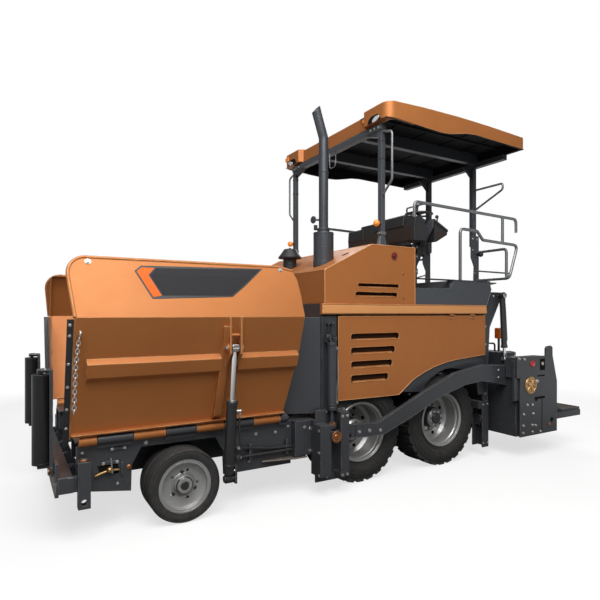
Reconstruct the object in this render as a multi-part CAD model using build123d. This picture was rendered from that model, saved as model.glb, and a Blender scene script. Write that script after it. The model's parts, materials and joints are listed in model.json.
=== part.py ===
"""Wheeled asphalt paver: hopper with folding wings in front, engine hood and operator's deck
behind it, and a floating screed towed by two side arms. Millimetres, +X forward, +Y the
machine's left, +Z up. The origin is on the ground under the middle of the machine's length."""

import math
import os

from build123d import *

# ---- Running gear
FRONT_AXLE_X = 1888
REAR_AXLES_X = (170, -900)
FRONT_WHEEL_R = 280
FRONT_RIM_R = 205
FRONT_WHEEL_Y = (680, 980)
REAR_WHEEL_R = 475
REAR_RIM_R = 286
REAR_WHEEL_Y = (570, 920)
AXLE_TUBE_R = 80
AXLE_SPINDLE_R = 40
KINGPIN_Y = 610
KINGPIN_R = 28
SPINDLE_R = 35
RUNNING_GAP = 0.05

# ---- Hopper
HINGE_Y = 875
HINGE_Z = 690
KNUCKLE_R = 36
HINGE_PIN_R = 14
WING_X = (951, 2715)
WING_FOLD = (1190, 1570)
WING_CREASE = (1058, 1876)
WING_LIP = (998, 1985)
SHEET = 12
FLOOR_Z = 680
TROUGH_Y = (30, 490)
RAIL_Y = (818, 845)

# ---- Tractor body
BODY_X = (-1518, 634)
BODY_Y = 957
LEDGE_Z = (1589, 1685)
HOOD_TOP_Z = 2255
HOOD_X = (-480, 605)
HOOD_Y = 945
DECK_Z = 1940
FRAME_Y = 520

# ---- Tow arms and screed
TOW_PIN_X = 585
TOW_PIN_Z = 520
TOW_PIN_R = 20
TOW_EYE_R = 38
ARM_Y = (1000, 1045)
SCREED_X = (-2440, -1760)
SCREED_Z = 240
SCREED_Y = 1180
SCREED_SPLIT_X = -2110
SCREED_HOUSING_Y = 915

# ---- Canopy
CANOPY_X = (-2090, -54)
CANOPY_Y = 1030
BEAM_Z = (3400, 3460)
FRONT_POST = (-125, 850)
REAR_POST = (-1980, 380)
FRONT_POST_HALF = 25
REAR_POST_HALF = 29
RAIL_TUBE_Y = 905


# ---- Shapes
def block(x0, x1, y0, y1, z0, z1):
    """A box between two corners."""
    size = (abs(x1 - x0), abs(y1 - y0), abs(z1 - z0))
    return Pos((x0 + x1) / 2, (y0 + y1) / 2, (z0 + z1) / 2) * Box(*size)


def slab_xz(points, y0, y1, rounds=()):
    """A side outline in X and Z, given a thickness across the machine. Each entry of rounds is
    a corner's place and its radius."""
    face = Face(Wire.make_polygon([(x, y0, z) for x, z in points], close=True))
    for x, z, radius in rounds:
        corner = face.vertices().sort_by_distance((x, y0, z))[0]
        face = face.fillet_2d(radius, [corner])
    return Solid.extrude(face, Vector(0, y1 - y0, 0))


def slab_yz(points, x0, x1):
    """A cross-section in Y and Z, given a length along the machine."""
    face = Face(Wire.make_polygon([(x0, y, z) for y, z in points], close=True))
    return Solid.extrude(face, Vector(x1 - x0, 0, 0))


def slab_xy(points, z0, z1, rounds=()):
    """A plan outline in X and Y, given a height."""
    face = Face(Wire.make_polygon([(x, y, z0) for x, y in points], close=True))
    for x, y, radius in rounds:
        corner = face.vertices().sort_by_distance((x, y, z0))[0]
        face = face.fillet_2d(radius, [corner])
    return Solid.extrude(face, Vector(0, 0, z1 - z0))


def rod(start, end, radius):
    """A round bar between two points."""
    start, end = Vector(*start), Vector(*end)
    along = end - start
    return Solid.make_cylinder(radius, along.length, Plane(origin=start, z_dir=along))


def bar_x(x0, x1, y, z, radius):
    return rod((x0, y, z), (x1, y, z), radius)


def bar_y(y0, y1, x, z, radius):
    return rod((x, y0, z), (x, y1, z), radius)


def pipe(points, radius, bend):
    """A bent round tube through the points, with its corners rounded to the bend radius."""
    path = FilletPolyline(*points, radius=bend)
    section = Plane(origin=path @ 0, z_dir=path % 0) * Circle(radius)
    return sweep(section, path=path).solid()


def turned(profile, x, z):
    """A profile of (radius, y) pairs turned about a wheel's axle."""
    face = Face(Wire.make_polygon([(x + r, y, z) for r, y in profile], close=True))
    return revolve(face, Axis((x, 0, z), (0, 1, 0)), 360).solid()


def join(first, *others):
    """Solids fused into one, or kept as separate solids where they don't touch."""
    result = Part() + [first, *others]
    return result


def other_side(shape):
    """The same piece on the machine's right."""
    return mirror(shape, about=Plane.XZ)


def both_sides(shape):
    return Compound(children=list(shape.solids()) + list(other_side(shape).solids()))


nodes = {}


def add_pair(name, shape):
    """A left piece and its mirrored right one, as two nodes."""
    nodes[name + "_left"] = shape
    nodes[name + "_right"] = other_side(shape)


# ---- Wheels
def front_tyre():
    """Twin solid bands on one rim, with a groove between them."""
    y0, y1 = FRONT_WHEEL_Y
    middle, groove, edge = (y0 + y1) / 2, 9, 16
    r0, r1 = FRONT_RIM_R, FRONT_WHEEL_R
    profile = [
        (r0, y0 + 6), (r1 - 2 * edge, y0), (r1 - edge / 3, y0 + edge / 2), (r1, y0 + edge * 1.5),
        (r1, middle - groove - edge / 2), (r1 - edge / 2, middle - groove),
        (r0 + 20, middle - groove), (r0 + 20, middle + groove),
        (r1 - edge / 2, middle + groove), (r1, middle + groove + edge / 2),
        (r1, y1 - edge * 1.5), (r1 - edge / 3, y1 - edge / 2), (r1 - 2 * edge, y1), (r0, y1 - 6),
    ]
    return turned(profile, FRONT_AXLE_X, FRONT_WHEEL_R)


def front_rim():
    """Steel rim with a dished web and a hub bored for the spindle."""
    y0, y1 = FRONT_WHEEL_Y
    r1 = FRONT_RIM_R - 0.3
    web = y1 - 62
    profile = [
        (SPINDLE_R + RUNNING_GAP, y0 + 12), (70, y0 + 12), (76, y0 + 40), (76, web - 14),
        (r1 - 42, web - 14), (r1 - 16, web - 60), (r1 - 16, y0 + 8), (r1, y0 + 8), (r1, y1 - 10),
        (r1 - 14, y1 - 10), (r1 - 24, web + 10), (r1 - 44, web), (76, web), (70, y1 - 34),
        (SPINDLE_R + RUNNING_GAP, y1 - 34),
    ]
    rim = turned(profile, FRONT_AXLE_X, FRONT_WHEEL_R)
    cap = bar_y(y1 - 34, y1 - 22, FRONT_AXLE_X, FRONT_WHEEL_R, 58)
    holes = []
    for k in range(5):
        angle = math.radians(36 + 72 * k)
        x = FRONT_AXLE_X + 110 * math.cos(angle)
        z = FRONT_WHEEL_R + 110 * math.sin(angle)
        holes.append(bar_y(web - 20, web + 6, x, z, 11))
    return join(rim, cap) - holes


def lug_ring(x, y0, y1, count=26):
    """A ring of tread lugs on one shoulder of a driven tyre."""
    pitch = 2 * math.pi / count
    half_lug = 0.31
    inner, root, tip = REAR_RIM_R + 90, REAR_WHEEL_R - 16, REAR_WHEEL_R / math.cos(half_lug * pitch)
    outline = []
    for k in range(count):
        for share, radius in ((-half_lug, tip), (half_lug, tip), (half_lug + 0.04, root), (0.65, root)):
            angle = pitch * (k + share) - math.pi / 2
            outline.append((x + radius * math.cos(angle), REAR_WHEEL_R + radius * math.sin(angle)))
    bore = bar_y(y0 - 1, y1 + 1, x, REAR_WHEEL_R, inner)
    return slab_xz(outline, y0, y1) - bore


def rear_tyre(x):
    """Pneumatic tyre with a plain carcass and a lugged shoulder each side."""
    y0, y1 = REAR_WHEEL_Y
    r0, r1 = REAR_RIM_R, REAR_WHEEL_R
    carcass = [
        (r0, y0 + 30), (r0 + 30, y0 + 8), (r0 + 90, y0), (r1 - 42, y0 + 14), (r1 - 12, y0 + 60),
        (r1 - 7, (y0 + y1) / 2), (r1 - 12, y1 - 60), (r1 - 42, y1 - 14), (r0 + 90, y1),
        (r0 + 30, y1 - 8), (r0, y1 - 30),
    ]
    body = turned(carcass, x, REAR_WHEEL_R)
    shoulder = 92
    crown = 22
    inner_lugs = lug_ring(x, y0 + crown, y0 + crown + shoulder)
    outer_lugs = lug_ring(x, y1 - crown - shoulder, y1 - crown)
    return join(body, inner_lugs, outer_lugs)


def rear_rim(x):
    """Deep-dished rim with the planetary hub in its middle, bored for the axle's spindle."""
    y0, y1 = REAR_WHEEL_Y
    r1 = REAR_RIM_R - 0.3
    web = y0 + 120
    rim = turned([
        (62, web - 16), (r1 - 26, web - 16), (r1 - 14, web - 40), (r1 - 14, y0 + 20), (r1, y0 + 20),
        (r1, y1 - 20), (r1 - 8, y1 - 12), (r1 - 20, y1 - 20), (r1 - 20, y1 - 60), (r1 - 30, y1 - 70),
        (r1 - 30, web + 30), (r1 - 60, web), (62, web),
    ], x, REAR_WHEEL_R)
    bore = AXLE_SPINDLE_R + RUNNING_GAP
    hub = turned([
        (bore, web - 60), (118, web - 60), (118, web - 8), (104, web - 8), (104, web + 110),
        (84, web + 126), (0, web + 126), (0, web + 40), (bore, web + 40),
    ], x, REAR_WHEEL_R)
    return join(rim, hub)


def front_knuckle():
    """Kingpin and stub axle of a steered wheel."""
    pin = rod((FRONT_AXLE_X, KINGPIN_Y, 196), (FRONT_AXLE_X, KINGPIN_Y, 372), KINGPIN_R)
    arm = block(FRONT_AXLE_X - 45, FRONT_AXLE_X + 45, KINGPIN_Y - 30, KINGPIN_Y + 62, 246, 314)
    flange = bar_y(KINGPIN_Y + 60, FRONT_WHEEL_Y[0] + 4, FRONT_AXLE_X, FRONT_WHEEL_R, 60)
    spindle = bar_y(KINGPIN_Y + 50, FRONT_WHEEL_Y[1] - 36, FRONT_AXLE_X, FRONT_WHEEL_R, SPINDLE_R)
    steering_arm = block(FRONT_AXLE_X - 170, FRONT_AXLE_X - 40, KINGPIN_Y - 24, KINGPIN_Y + 10, 262, 298)
    return join(arm, pin, flange, spindle, steering_arm)


def front_axle():
    """Transverse beam hung under the hopper, with a fork for each kingpin."""
    x = FRONT_AXLE_X
    beam = block(x - 60, x + 60, -540, 540, 225, 335)
    fork_low = block(x - 55, x + 55, 520, KINGPIN_Y + 42, 200, 238)
    fork_high = block(x - 55, x + 55, 520, KINGPIN_Y + 42, 322, 362)
    bore = rod((x, KINGPIN_Y, 150), (x, KINGPIN_Y, 420), KINGPIN_R + RUNNING_GAP)
    fork = join(fork_low, fork_high) - bore
    hanger = block(x - 60, x + 60, -70, 70, 334, 469.7)
    clearance = block(x - 56, x + 56, 536, 700, 238, 322)
    clearance_right = block(x - 56, x + 56, -700, -536, 238, 322)
    axle = join(beam, hanger, fork, other_side(fork))
    return axle - [clearance, clearance_right]


def rear_axles():
    """Two driven axles: a final-drive housing each side and the tube between them."""
    pieces = []
    for x in REAR_AXLES_X:
        pieces.append(bar_y(-FRAME_Y - 60, FRAME_Y + 60, x, REAR_WHEEL_R, AXLE_TUBE_R))
        for side in (1, -1):
            pieces.append(bar_y(side * (FRAME_Y + 20), side * 612, x, REAR_WHEEL_R, 112))
            pieces.append(bar_y(side * 600, side * 724, x, REAR_WHEEL_R, AXLE_SPINDLE_R))
    return join(*pieces)


# ---- Hopper
def hinge_run(spans, radius=KNUCKLE_R):
    """Knuckles along the wing's hinge, bored for its pin."""
    knuckles = []
    for x0, x1 in spans:
        knuckle = bar_x(x0, x1, HINGE_Y, HINGE_Z, radius)
        knuckles.append(knuckle - bar_x(x0 - 1, x1 + 1, HINGE_Y, HINGE_Z, HINGE_PIN_R + RUNNING_GAP))
    return knuckles


# Hinge knuckles along X: the wing's, then the frame's between them.
WING_KNUCKLES = ((2509, 2627), (2018, 2254), (1548, 1774), (1035, 1281))
FRAME_KNUCKLES = ((2259, 2504), (1779, 2013), (1286, 1543), (962, 1030))


# The wing from the side: up its rear edge, along its top, then down its front edge.
WING_OUTLINE = (
    (1003, 700), (951, 1300), (958, 1570), (951, 1750), (956, 1870), (976, 1957), (1108, 1992),
    (2715, 1992), (2715, 1850), (2684, 1573), (2683, 700),
)


def wing_sheet():
    """The wing's bent side sheet: a sloping panel, a fold and a panel leaning back in."""
    (fold_y, fold_z), (crease_y, crease_z), (lip_y, lip_z) = WING_FOLD, WING_CREASE, WING_LIP
    outline = [
        (HINGE_Y + 9, HINGE_Z + 43), (fold_y, fold_z), (crease_y, crease_z), (lip_y, lip_z),
        (lip_y - 43, lip_z), (lip_y - 43, lip_z - SHEET), (lip_y - SHEET, lip_z - SHEET - 2),
        (crease_y - SHEET, crease_z - 2), (fold_y - SHEET, fold_z - 2), (HINGE_Y - 5, HINGE_Z + 46),
    ]
    return slab_yz(outline, *WING_X)


def wing_flap():
    """Front flap plate, from the sloping panel inwards, that closes the hopper beside the push beam."""
    low, high = 735, 1560
    outline = [
        (640, low - 30), (wing_skin(low) - 8, low - 20), (wing_skin(high) - 8, high), (760, high - 5),
    ]
    return slab_yz(outline, WING_X[1] - 34, WING_X[1] - 25)


def wing_front_edge():
    """A narrow return across the wing's front edge, bent in to stiffen it."""
    (fold_y, fold_z), (lip_y, lip_z) = WING_FOLD, WING_LIP
    width, front = 55, 2682
    outline = [
        (HINGE_Y - 2, HINGE_Z + 46), (fold_y - 4, fold_z), (lip_y - 4, lip_z - 4),
        (lip_y - 55, lip_z - 4), (fold_y - width - 12, fold_z), (HINGE_Y - width + 20, HINGE_Z + 46),
    ]
    return slab_yz(outline, front - SHEET, front)


def wing_skin(z):
    """Y of the sloping panel's outer face at a height."""
    return HINGE_Y + (WING_FOLD[0] - HINGE_Y) / (WING_FOLD[1] - HINGE_Z) * (z - HINGE_Z)


def wing_rib(x0, x1):
    """Pressed stiffener along the outside of the sloping panel."""
    low, high, stand, chamfer = 1120, 1290, 42, 38
    outline = [
        (wing_skin(low) - 4, low), (wing_skin(low + chamfer) + stand, low + chamfer),
        (wing_skin(high - chamfer) + stand, high - chamfer), (wing_skin(high) - 4, high),
    ]
    return slab_yz(outline, x0, x1)


def wing_leg():
    """Upright channel from the cylinder's bracket down to the hinge."""
    low, bend, high, depth = 745, 790, 1500, 48
    outline = [
        (wing_skin(low) - 4, low), (wing_skin(bend) + depth, bend), (wing_skin(high) + depth / 2, high),
        (wing_skin(high) - 4, high),
    ]
    return slab_yz(outline, WING_CYL_X + 32, WING_CYL_X + 93)


# The wing's cylinder stands beside the front wheel.
WING_CYL_X = 1562
WING_EYE = (1150, 1335)
WING_FOOT = (1030, 300)


def wing_bracket():
    """Two flanges on the wing that take the cylinder's upper pin."""
    y, z = WING_EYE
    outline = [(1030, 1130), (y + 40, z - 45), (y + 40, WING_FOLD[1] - 6), (1040, WING_FOLD[1] - 6)]
    plates = [slab_yz(outline, WING_CYL_X + s - 8, WING_CYL_X + s + 8) for s in (-44, 44)]
    inside = slab_yz(
        [(HINGE_Y - 300, HINGE_Z), (HINGE_Y - 4, HINGE_Z), (WING_FOLD[0] - 8, WING_FOLD[1]),
         (WING_LIP[0] - 6, WING_LIP[1]), (HINGE_Y - 300, WING_LIP[1])],
        WING_CYL_X - 60, WING_CYL_X + 60,
    )
    plates = [p - inside for p in plates]
    stubs = [bar_x(WING_CYL_X + a, WING_CYL_X + b, y, z, 15) for a, b in ((-58, -31), (31, 58))]
    return [*plates, *stubs]


def hopper_wing():
    side_view = slab_xz(WING_OUTLINE, 600, 1300, [(2715, 1992, 118), (976, 1957, 60)])
    pieces = [join(wing_sheet(), wing_front_edge()) & side_view, wing_flap()]
    pieces += [wing_rib(973, WING_CYL_X - 56), wing_rib(WING_CYL_X + 88, 2602), wing_leg()]
    pieces += hinge_run(WING_KNUCKLES)
    for x0, x1 in WING_KNUCKLES:
        web = block(x0, x1, HINGE_Y - 8, HINGE_Y + 14, HINGE_Z + 30, HINGE_Z + 60)
        pieces.append(web)
    pieces += wing_bracket()
    return join(*pieces)


def wing_barrel():
    foot, eye = WING_FOOT, WING_EYE
    span = math.dist(foot, eye)
    uy, uz = (eye[0] - foot[0]) / span, (eye[1] - foot[1]) / span
    low, high = 45, 0.60 * span
    barrel = rod(
        (WING_CYL_X, foot[0] + uy * low, foot[1] + uz * low),
        (WING_CYL_X, foot[0] + uy * high, foot[1] + uz * high), 42,
    )
    boss = bar_x(WING_CYL_X - 28, WING_CYL_X + 28, foot[0], foot[1], 34)
    neck = rod((WING_CYL_X, *foot), (WING_CYL_X, foot[0] + uy * 70, foot[1] + uz * 70), 26)
    bore = bar_x(WING_CYL_X - 40, WING_CYL_X + 40, foot[0], foot[1], 18 + RUNNING_GAP)
    hollow = rod(
        (WING_CYL_X, foot[0] + uy * 90, foot[1] + uz * 90),
        (WING_CYL_X, foot[0] + uy * (high + 5), foot[1] + uz * (high + 5)), 22 + RUNNING_GAP,
    )
    return join(barrel, boss, neck) - [bore, hollow]


def wing_rod():
    foot, eye = WING_FOOT, WING_EYE
    span = math.dist(foot, eye)
    uy, uz = (eye[0] - foot[0]) / span, (eye[1] - foot[1]) / span
    start = 0.40 * span
    shaft = rod(
        (WING_CYL_X, foot[0] + uy * start, foot[1] + uz * start),
        (WING_CYL_X, foot[0] + uy * (span - 24), foot[1] + uz * (span - 24)), 22,
    )
    head = bar_x(WING_CYL_X - 26, WING_CYL_X + 26, eye[0], eye[1], 36)
    gap = bar_x(WING_CYL_X - 30, WING_CYL_X + 30, eye[0], eye[1], 22)
    return join(shaft, head) - gap


def hopper_frame():
    """Side plates under the wings, arched over the steered wheels, with the hinges' fixed half."""
    plate = slab_xz(
        [(2640, 650), (900, 650), (900, 275), (1525, 275), (1533, 470), (1600, 592), (2188, 592),
         (2258, 470), (2263, 275), (2560, 320), (2640, 372)],
        *RAIL_Y,
    )
    pieces = [plate]
    pieces += hinge_run(FRAME_KNUCKLES)
    for x0, x1 in FRAME_KNUCKLES:
        pieces.append(block(x0, x1, RAIL_Y[0], HINGE_Y, HINGE_Z - 60, HINGE_Z - 30))
    foot_x = WING_CYL_X - 60
    pieces.append(block(foot_x, foot_x + 16, RAIL_Y[1] - 1, WING_FOOT[0] + 34, 262, 400))
    pieces.append(bar_x(foot_x + 8, WING_CYL_X + 38, *WING_FOOT, 18))
    pieces.append(bar_x(WING_CYL_X + 31, WING_CYL_X + 38, *WING_FOOT, 27))
    pieces.append(block(700, 901, 700, 930, 350, 655))
    left = join(*pieces)
    return both_sides(left)


def hopper_floor():
    """Floor plates round the two conveyor troughs, on their rails and cross-members."""
    floor = block(900, 2640, -RAIL_Y[0] + 1, RAIL_Y[0] - 1, FLOOR_Z - 15, FLOOR_Z)
    ridge = [(-28, FLOOR_Z - 1), (-12, FLOOR_Z + 60), (12, FLOOR_Z + 60), (28, FLOOR_Z - 1)]
    divider = slab_yz(ridge, 700, 2640)
    pieces = [floor, divider]
    troughs = []
    for side in (1, -1):
        pieces.append(block(700, 2640, *sorted((side * 524, side * 536)), 500, FLOOR_Z - 2))
        pieces.append(block(700, 2640, *sorted((side * 14, side * 26)), 500, FLOOR_Z - 1))
        across = sorted((side * TROUGH_Y[0], side * TROUGH_Y[1]))
        troughs.append(block(890, 2650, *across, FLOOR_Z - 16, FLOOR_Z + 1))
    cross = [block(x, x + 60, -RAIL_Y[0] + 1, RAIL_Y[0] - 1, 470, 501) for x in (1000, 2400)]
    axle_seat = block(FRONT_AXLE_X - 60, FRONT_AXLE_X + 60, -536, 536, 470, 501)
    return join(*pieces, *cross, axle_seat) - troughs


def conveyors():
    """Two slat conveyors: each a pair of chains with flat bars across them, as one fixed loop."""
    pieces = []
    x0, x1, low, high = -1430, 2600, 585, 668
    pulley = 40
    for side in (1, -1):
        y0, y1 = sorted((side * (TROUGH_Y[0] + 10), side * (TROUGH_Y[1] - 10)))
        for y in (y0 + 30, y1 - 30):
            pieces.append(block(x0, x1, y - 14, y + 14, low, high))
        for k in range(21):
            x = x1 - 60 - k * 192
            pieces.append(block(x - 20, x + 20, y0, y1, high - 2, high + 16))
        pieces.append(block(x0 + 80, x1 - 80, y0 + 44, y1 - 44, low + 20, low + 32))
        for x in (x0 + 50, x1 - 50):
            pieces.append(bar_y(y0 + 10, y1 - 10, x, (low + high) / 2, pulley))
    return join(*pieces)


def push_beam():
    """Front cross-beam with its worn bumper plate and an upright post at each side."""
    tube = block(2666, 2758, -900, 900, 352, 456)
    plate = slab_xz([(2756, 462), (2766, 462), (2779, 330), (2756, 330)], -900, 900)
    pieces = [tube, plate]
    for side in (1, -1):
        post = block(2560, 2640, *sorted((side * 905, side * 975)), 245, 568)
        hole = bar_y(*sorted((side * 900, side * 980)), *TIE_DOWN, TIE_DOWN_R)
        pieces.append(post - hole)
        pieces.append(block(2570, 2640, *sorted((side * 846, side * 906)), 380, 540))
        pieces.append(block(2639, 2700, *sorted((side * 846, side * 906)), 352, 456))
        pieces.append(block(2757, 2779, *sorted((side * 640, side * 900)), 440, 560))
        pieces.append(bar_x(2770, 2808, side * ROLLER_PIVOT[0], ROLLER_PIVOT[1], 16))
    return join(*pieces)


# A hole through each front post takes a shackle pin: its place in X and Z, and its radius.
TIE_DOWN = (2600, 290)
TIE_DOWN_R = 22

# Push rollers: brackets that stand up for travel and fold down across the front.
ROLLER_X = 2856
ROLLER_R = 60
ROLLER_Y = 770
ROLLER_Z = (545, 1170)
ROLLER_PIVOT = (800, 490)


def roller_bracket():
    """A channel with an ear at each end that holds the roller's spindle."""
    back = block(2786, 2791, ROLLER_Y - 55, ROLLER_Y + 55, 520, 1200)
    sides = [block(2790, 2807, ROLLER_Y + s - 6, ROLLER_Y + s + 6, 520, 1200) for s in (-49, 49)]
    ears = [block(2788, ROLLER_X + 26, ROLLER_Y - 30, ROLLER_Y + 30, z, z + 18) for z in (518, 1182)]
    spindle = rod((ROLLER_X, ROLLER_Y, 530), (ROLLER_X, ROLLER_Y, 1190), 14)
    lug = block(2786, 2800, ROLLER_Y - 40, ROLLER_PIVOT[0] + 34, 462, 524)
    bore = bar_x(2760, 2830, *ROLLER_PIVOT, 16 + RUNNING_GAP)
    return join(back, *sides, *ears, spindle, lug) - bore


def push_roller():
    body = rod((ROLLER_X, ROLLER_Y, ROLLER_Z[0]), (ROLLER_X, ROLLER_Y, ROLLER_Z[1]), ROLLER_R)
    bore = rod((ROLLER_X, ROLLER_Y, 500), (ROLLER_X, ROLLER_Y, 1200), 14 + RUNNING_GAP)
    return body - bore


# ---- Tractor
def chassis():
    """Two long side members with cross-members, and the rear posts that carry the lift cylinders."""
    side = slab_xz(
        [(900, 360), (900, 470), (640, 470), (640, 900), (-1440, 900), (-1440, 420), (-1250, 360)],
        FRAME_Y - 20, FRAME_Y,
    )
    axles = [bar_y(400, 700, x, REAR_WHEEL_R, AXLE_TUBE_R + 0.3) for x in REAR_AXLES_X]
    side = side - axles
    pieces = [side, other_side(side)]
    for x in (560, -300, -1440):
        pieces.append(block(x, x + 60, -FRAME_Y, FRAME_Y, 899, 950))
    for x in (720, -260, -1380):
        pieces.append(block(x, x + 60, -FRAME_Y + 19, FRAME_Y - 19, 370, 440))
    post = rear_post()
    return join(*pieces, post, other_side(post))


def rear_post():
    """Post and gusset plate at a rear corner, with the lift cylinder's upper pin."""
    outline = [
        (-1519, 1660), (-1551, 1660), (-1657, 1835), (-1820, 1835), (-1820, 1760), (-1630, 1440),
        (-1600, 1060), (-1590, 620.5), (-1519, 620.5),
    ]
    plate = slab_xz(outline, 900, 916)
    pin = bar_y(910, LIFT_Y + 34, *LIFT_TOP, 20)
    outrigger = block(-1519 - 30, -1519, FRAME_Y - 20, 901, 1062, 1180)
    strut = block(-1519 - 30, -1380, FRAME_Y - 20, FRAME_Y, 899, 1180)
    return join(plate, pin, outrigger, strut)


def body_walls():
    """The tractor's front wall, with the conveyor tunnel through it, and the body's other walls."""
    x1 = BODY_X[1]
    wall = block(x1 - 12, x1, -926, 926, 740, LEDGE_Z[1])
    tunnel = block(x1 - 20, x1 + 10, -530, 530, 600, 960)
    pieces = [wall - tunnel]
    for side in (1, -1):
        pieces.append(block(475, x1, *sorted((side * 925, side * 942)), 700, LEDGE_Z[0] - 9))
        guard = [(x1 - 1, side * 915), (x1 - 1, side * 903), (948, side * 770), (948, side * 782)]
        pieces.append(slab_xy(guard, 700, 1560))
    rear = block(BODY_X[0], BODY_X[0] + 12, -924, 924, 1182, LEDGE_Z[1])
    return Compound(children=[*join(*pieces).solids(), rear.solid(), *fenders().solids()])


# The side door's lower edge arches over the second driven wheel.
DOOR_EDGE = (
    (-254, 796), (-440, 930), (-575, 990), (-720, 1040), (-872, 1077), (-1030, 1101), (-1510, 1138),
)
DOOR_FRONT_X = 465
# Slots in the door: top, bottom and rear end of each.
DOOR_SLOTS = ((1410, 1346, -257), (1282, 1216, -205), (1153, 1086, -170), (1024, 955, -120))
SLOT_FRONT_X = 326
SLOT_CORNER_R = 24
# The door's two hinges: their middles along X, and their axis in Y and Z.
DOOR_HINGES_X = (-988, -1294)
DOOR_AXIS = (960, 1578)
DOOR_KNUCKLE_R = 9
DOOR_PIN_R = 5


def side_door():
    """Copper side door with four cooling slots, hinged along its top edge."""
    outline = [(DOOR_FRONT_X, 1572), (DOOR_FRONT_X, 800), *DOOR_EDGE, (-1510, 1572)]
    skin = slab_xz(outline, BODY_Y - 14, BODY_Y)
    for top, bottom, end in DOOR_SLOTS:
        corners = [(end, bottom), (SLOT_FRONT_X, bottom), (SLOT_FRONT_X, top), (end, top)]
        rounds = [(x, z, SLOT_CORNER_R) for x, z in corners]
        skin = skin - slab_xz(corners, BODY_Y - 20, BODY_Y + 5, rounds)
    frame = [
        block(345, 450, BODY_Y - 34, BODY_Y - 13, 820, 1560),
        block(-1500, -1440, BODY_Y - 34, BODY_Y - 13, 1180, 1560),
        block(-1440, 345, BODY_Y - 34, BODY_Y - 13, 1500, 1560),
    ]
    notches, knuckles, bores = [], [], []
    for x in DOOR_HINGES_X:
        notches.append(block(x - 34, x + 34, BODY_Y - 20, BODY_Y + 5, 1561, 1580))
        knuckles.append(block(x - 12, x + 12, BODY_Y - 9, BODY_Y, 1556, 1577))
        knuckles.append(bar_x(x - 12, x + 12, *DOOR_AXIS, DOOR_KNUCKLE_R))
        bores.append(bar_x(x - 14, x + 14, *DOOR_AXIS, DOOR_PIN_R + RUNNING_GAP))
    return join(skin - notches, *frame, *knuckles) - bores


def ledge_rails():
    """Copper rail along each side, above the doors, with the fixed half of the doors' hinges."""
    pieces = [block(BODY_X[0], BODY_X[1] + 10, 926.3, 968, *LEDGE_Z)]
    for x in DOOR_HINGES_X:
        pieces.append(bar_x(x - 30, x + 30, *DOOR_AXIS, DOOR_PIN_R))
        for side in (-1, 1):
            near, far = sorted((x + side * 15, x + side * 30))
            pieces.append(bar_x(near, far, *DOOR_AXIS, DOOR_KNUCKLE_R))
            y, z = DOOR_AXIS
            pieces.append(block(near, far, y - 5, y + 5, z, LEDGE_Z[0] + 1))
    return both_sides(join(*pieces))


MUFFLER = (407, 620)
MUFFLER_R = 98
INTAKE = (430, -8)
INTAKE_R = 72


def hood_outline(inset):
    x0, x1 = HOOD_X
    return [
        (x0 + inset, LEDGE_Z[1] + 0.3), (x1 - inset, LEDGE_Z[1] + 0.3), (x1 - inset, 1992 - inset / 2),
        (70 - inset / 3, HOOD_TOP_Z - inset), (x0 + inset, HOOD_TOP_Z - inset),
    ]


def engine_hood():
    """Hollow copper hood with a sloping front and cooling slots in its sides."""
    outer = slab_xz(hood_outline(0), -HOOD_Y, HOOD_Y)
    inside = [(x, z if z > 1700 else z - 5) for x, z in hood_outline(14)]
    inner = slab_xz(inside, -HOOD_Y + 14, HOOD_Y - 14)
    slots = []
    for x0, x1, z0, z1 in ((-265, 235, 1840, 1882), (-245, 265, 1754, 1800)):
        slots.append(block(x0, x1, -HOOD_Y - 5, HOOD_Y + 5, z0, z1))
    muffler = rod((*MUFFLER, 1900), (*MUFFLER, 2600), MUFFLER_R + 0.3)
    intake = rod((*INTAKE, 1900), (*INTAKE, 2600), INTAKE_R + 0.3)
    return (outer - inner) - [*slots, muffler, intake]


def deck():
    """Operator's deck: slate side walls with a low front part, and black floor plates."""
    side = slab_xz(
        [(-481, 1686), (-481, 1850), (-966, 1858), (-1018, 1942), (-1588, 1942), (-1615, 1860),
         (-1545, 1686)],
        BODY_Y - 22, BODY_Y - 6,
    )
    low_floor = block(-1000, -481, -BODY_Y + 21, BODY_Y - 21, 1790, 1806)
    floor = block(-1590, -985, -BODY_Y + 21, BODY_Y - 21, DECK_Z - 14, DECK_Z)
    riser = block(-1000, -985, -BODY_Y + 21, BODY_Y - 21, 1790, DECK_Z - 1)
    rear = block(-1590, -1575, -896, 896, 1690, DECK_Z - 1)
    rear_deck = block(-2060, -1589, -560, 560, DECK_Z - 14, DECK_Z)
    edge = block(-2060, -2045, -560, 560, DECK_Z - 120, DECK_Z - 1)
    braces = [slab_xz([(-1589, 1700), (-1589, DECK_Z - 10), (-2046, DECK_Z - 10), (-2046, DECK_Z - 110)],
                      s - 8, s + 8) for s in (-400, 400)]
    return join(side, other_side(side), low_floor, floor, riser, rear, rear_deck, edge, *braces)


def engine():
    """The engine and its cooling pack, as one plain block on the frame."""
    return block(-420, 480, -430, 430, 1050, 1640)


def exhaust():
    """Upright muffler and a stack whose top leans forward."""
    x, y = MUFFLER
    muffler = rod((x, y, 2040), (x, y, 2380), MUFFLER_R)
    collar = rod((x, y, 2379), (x, y, 2398), 58)
    stack = pipe([(x, y, 2390), (x, y, 3300), (x + 80, y, 3540)], 46, 120)
    bore = pipe([(x, y, 2440), (x, y, 3300), (x + 88, y, 3564)], 41, 118)
    return join(muffler, collar, stack) - bore


def air_intake():
    """Mushroom-shaped rain cap on a short neck."""
    x, y = INTAKE
    neck = rod((x, y, 2040), (x, y, 2190), INTAKE_R)
    brim = rod((x, y, 2185), (x, y, 2203), 124)
    dome = Solid.make_cone(122, 62, 84, Plane(origin=(x, y, 2202), z_dir=(0, 0, 1)))
    return join(neck, brim, dome)


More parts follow.
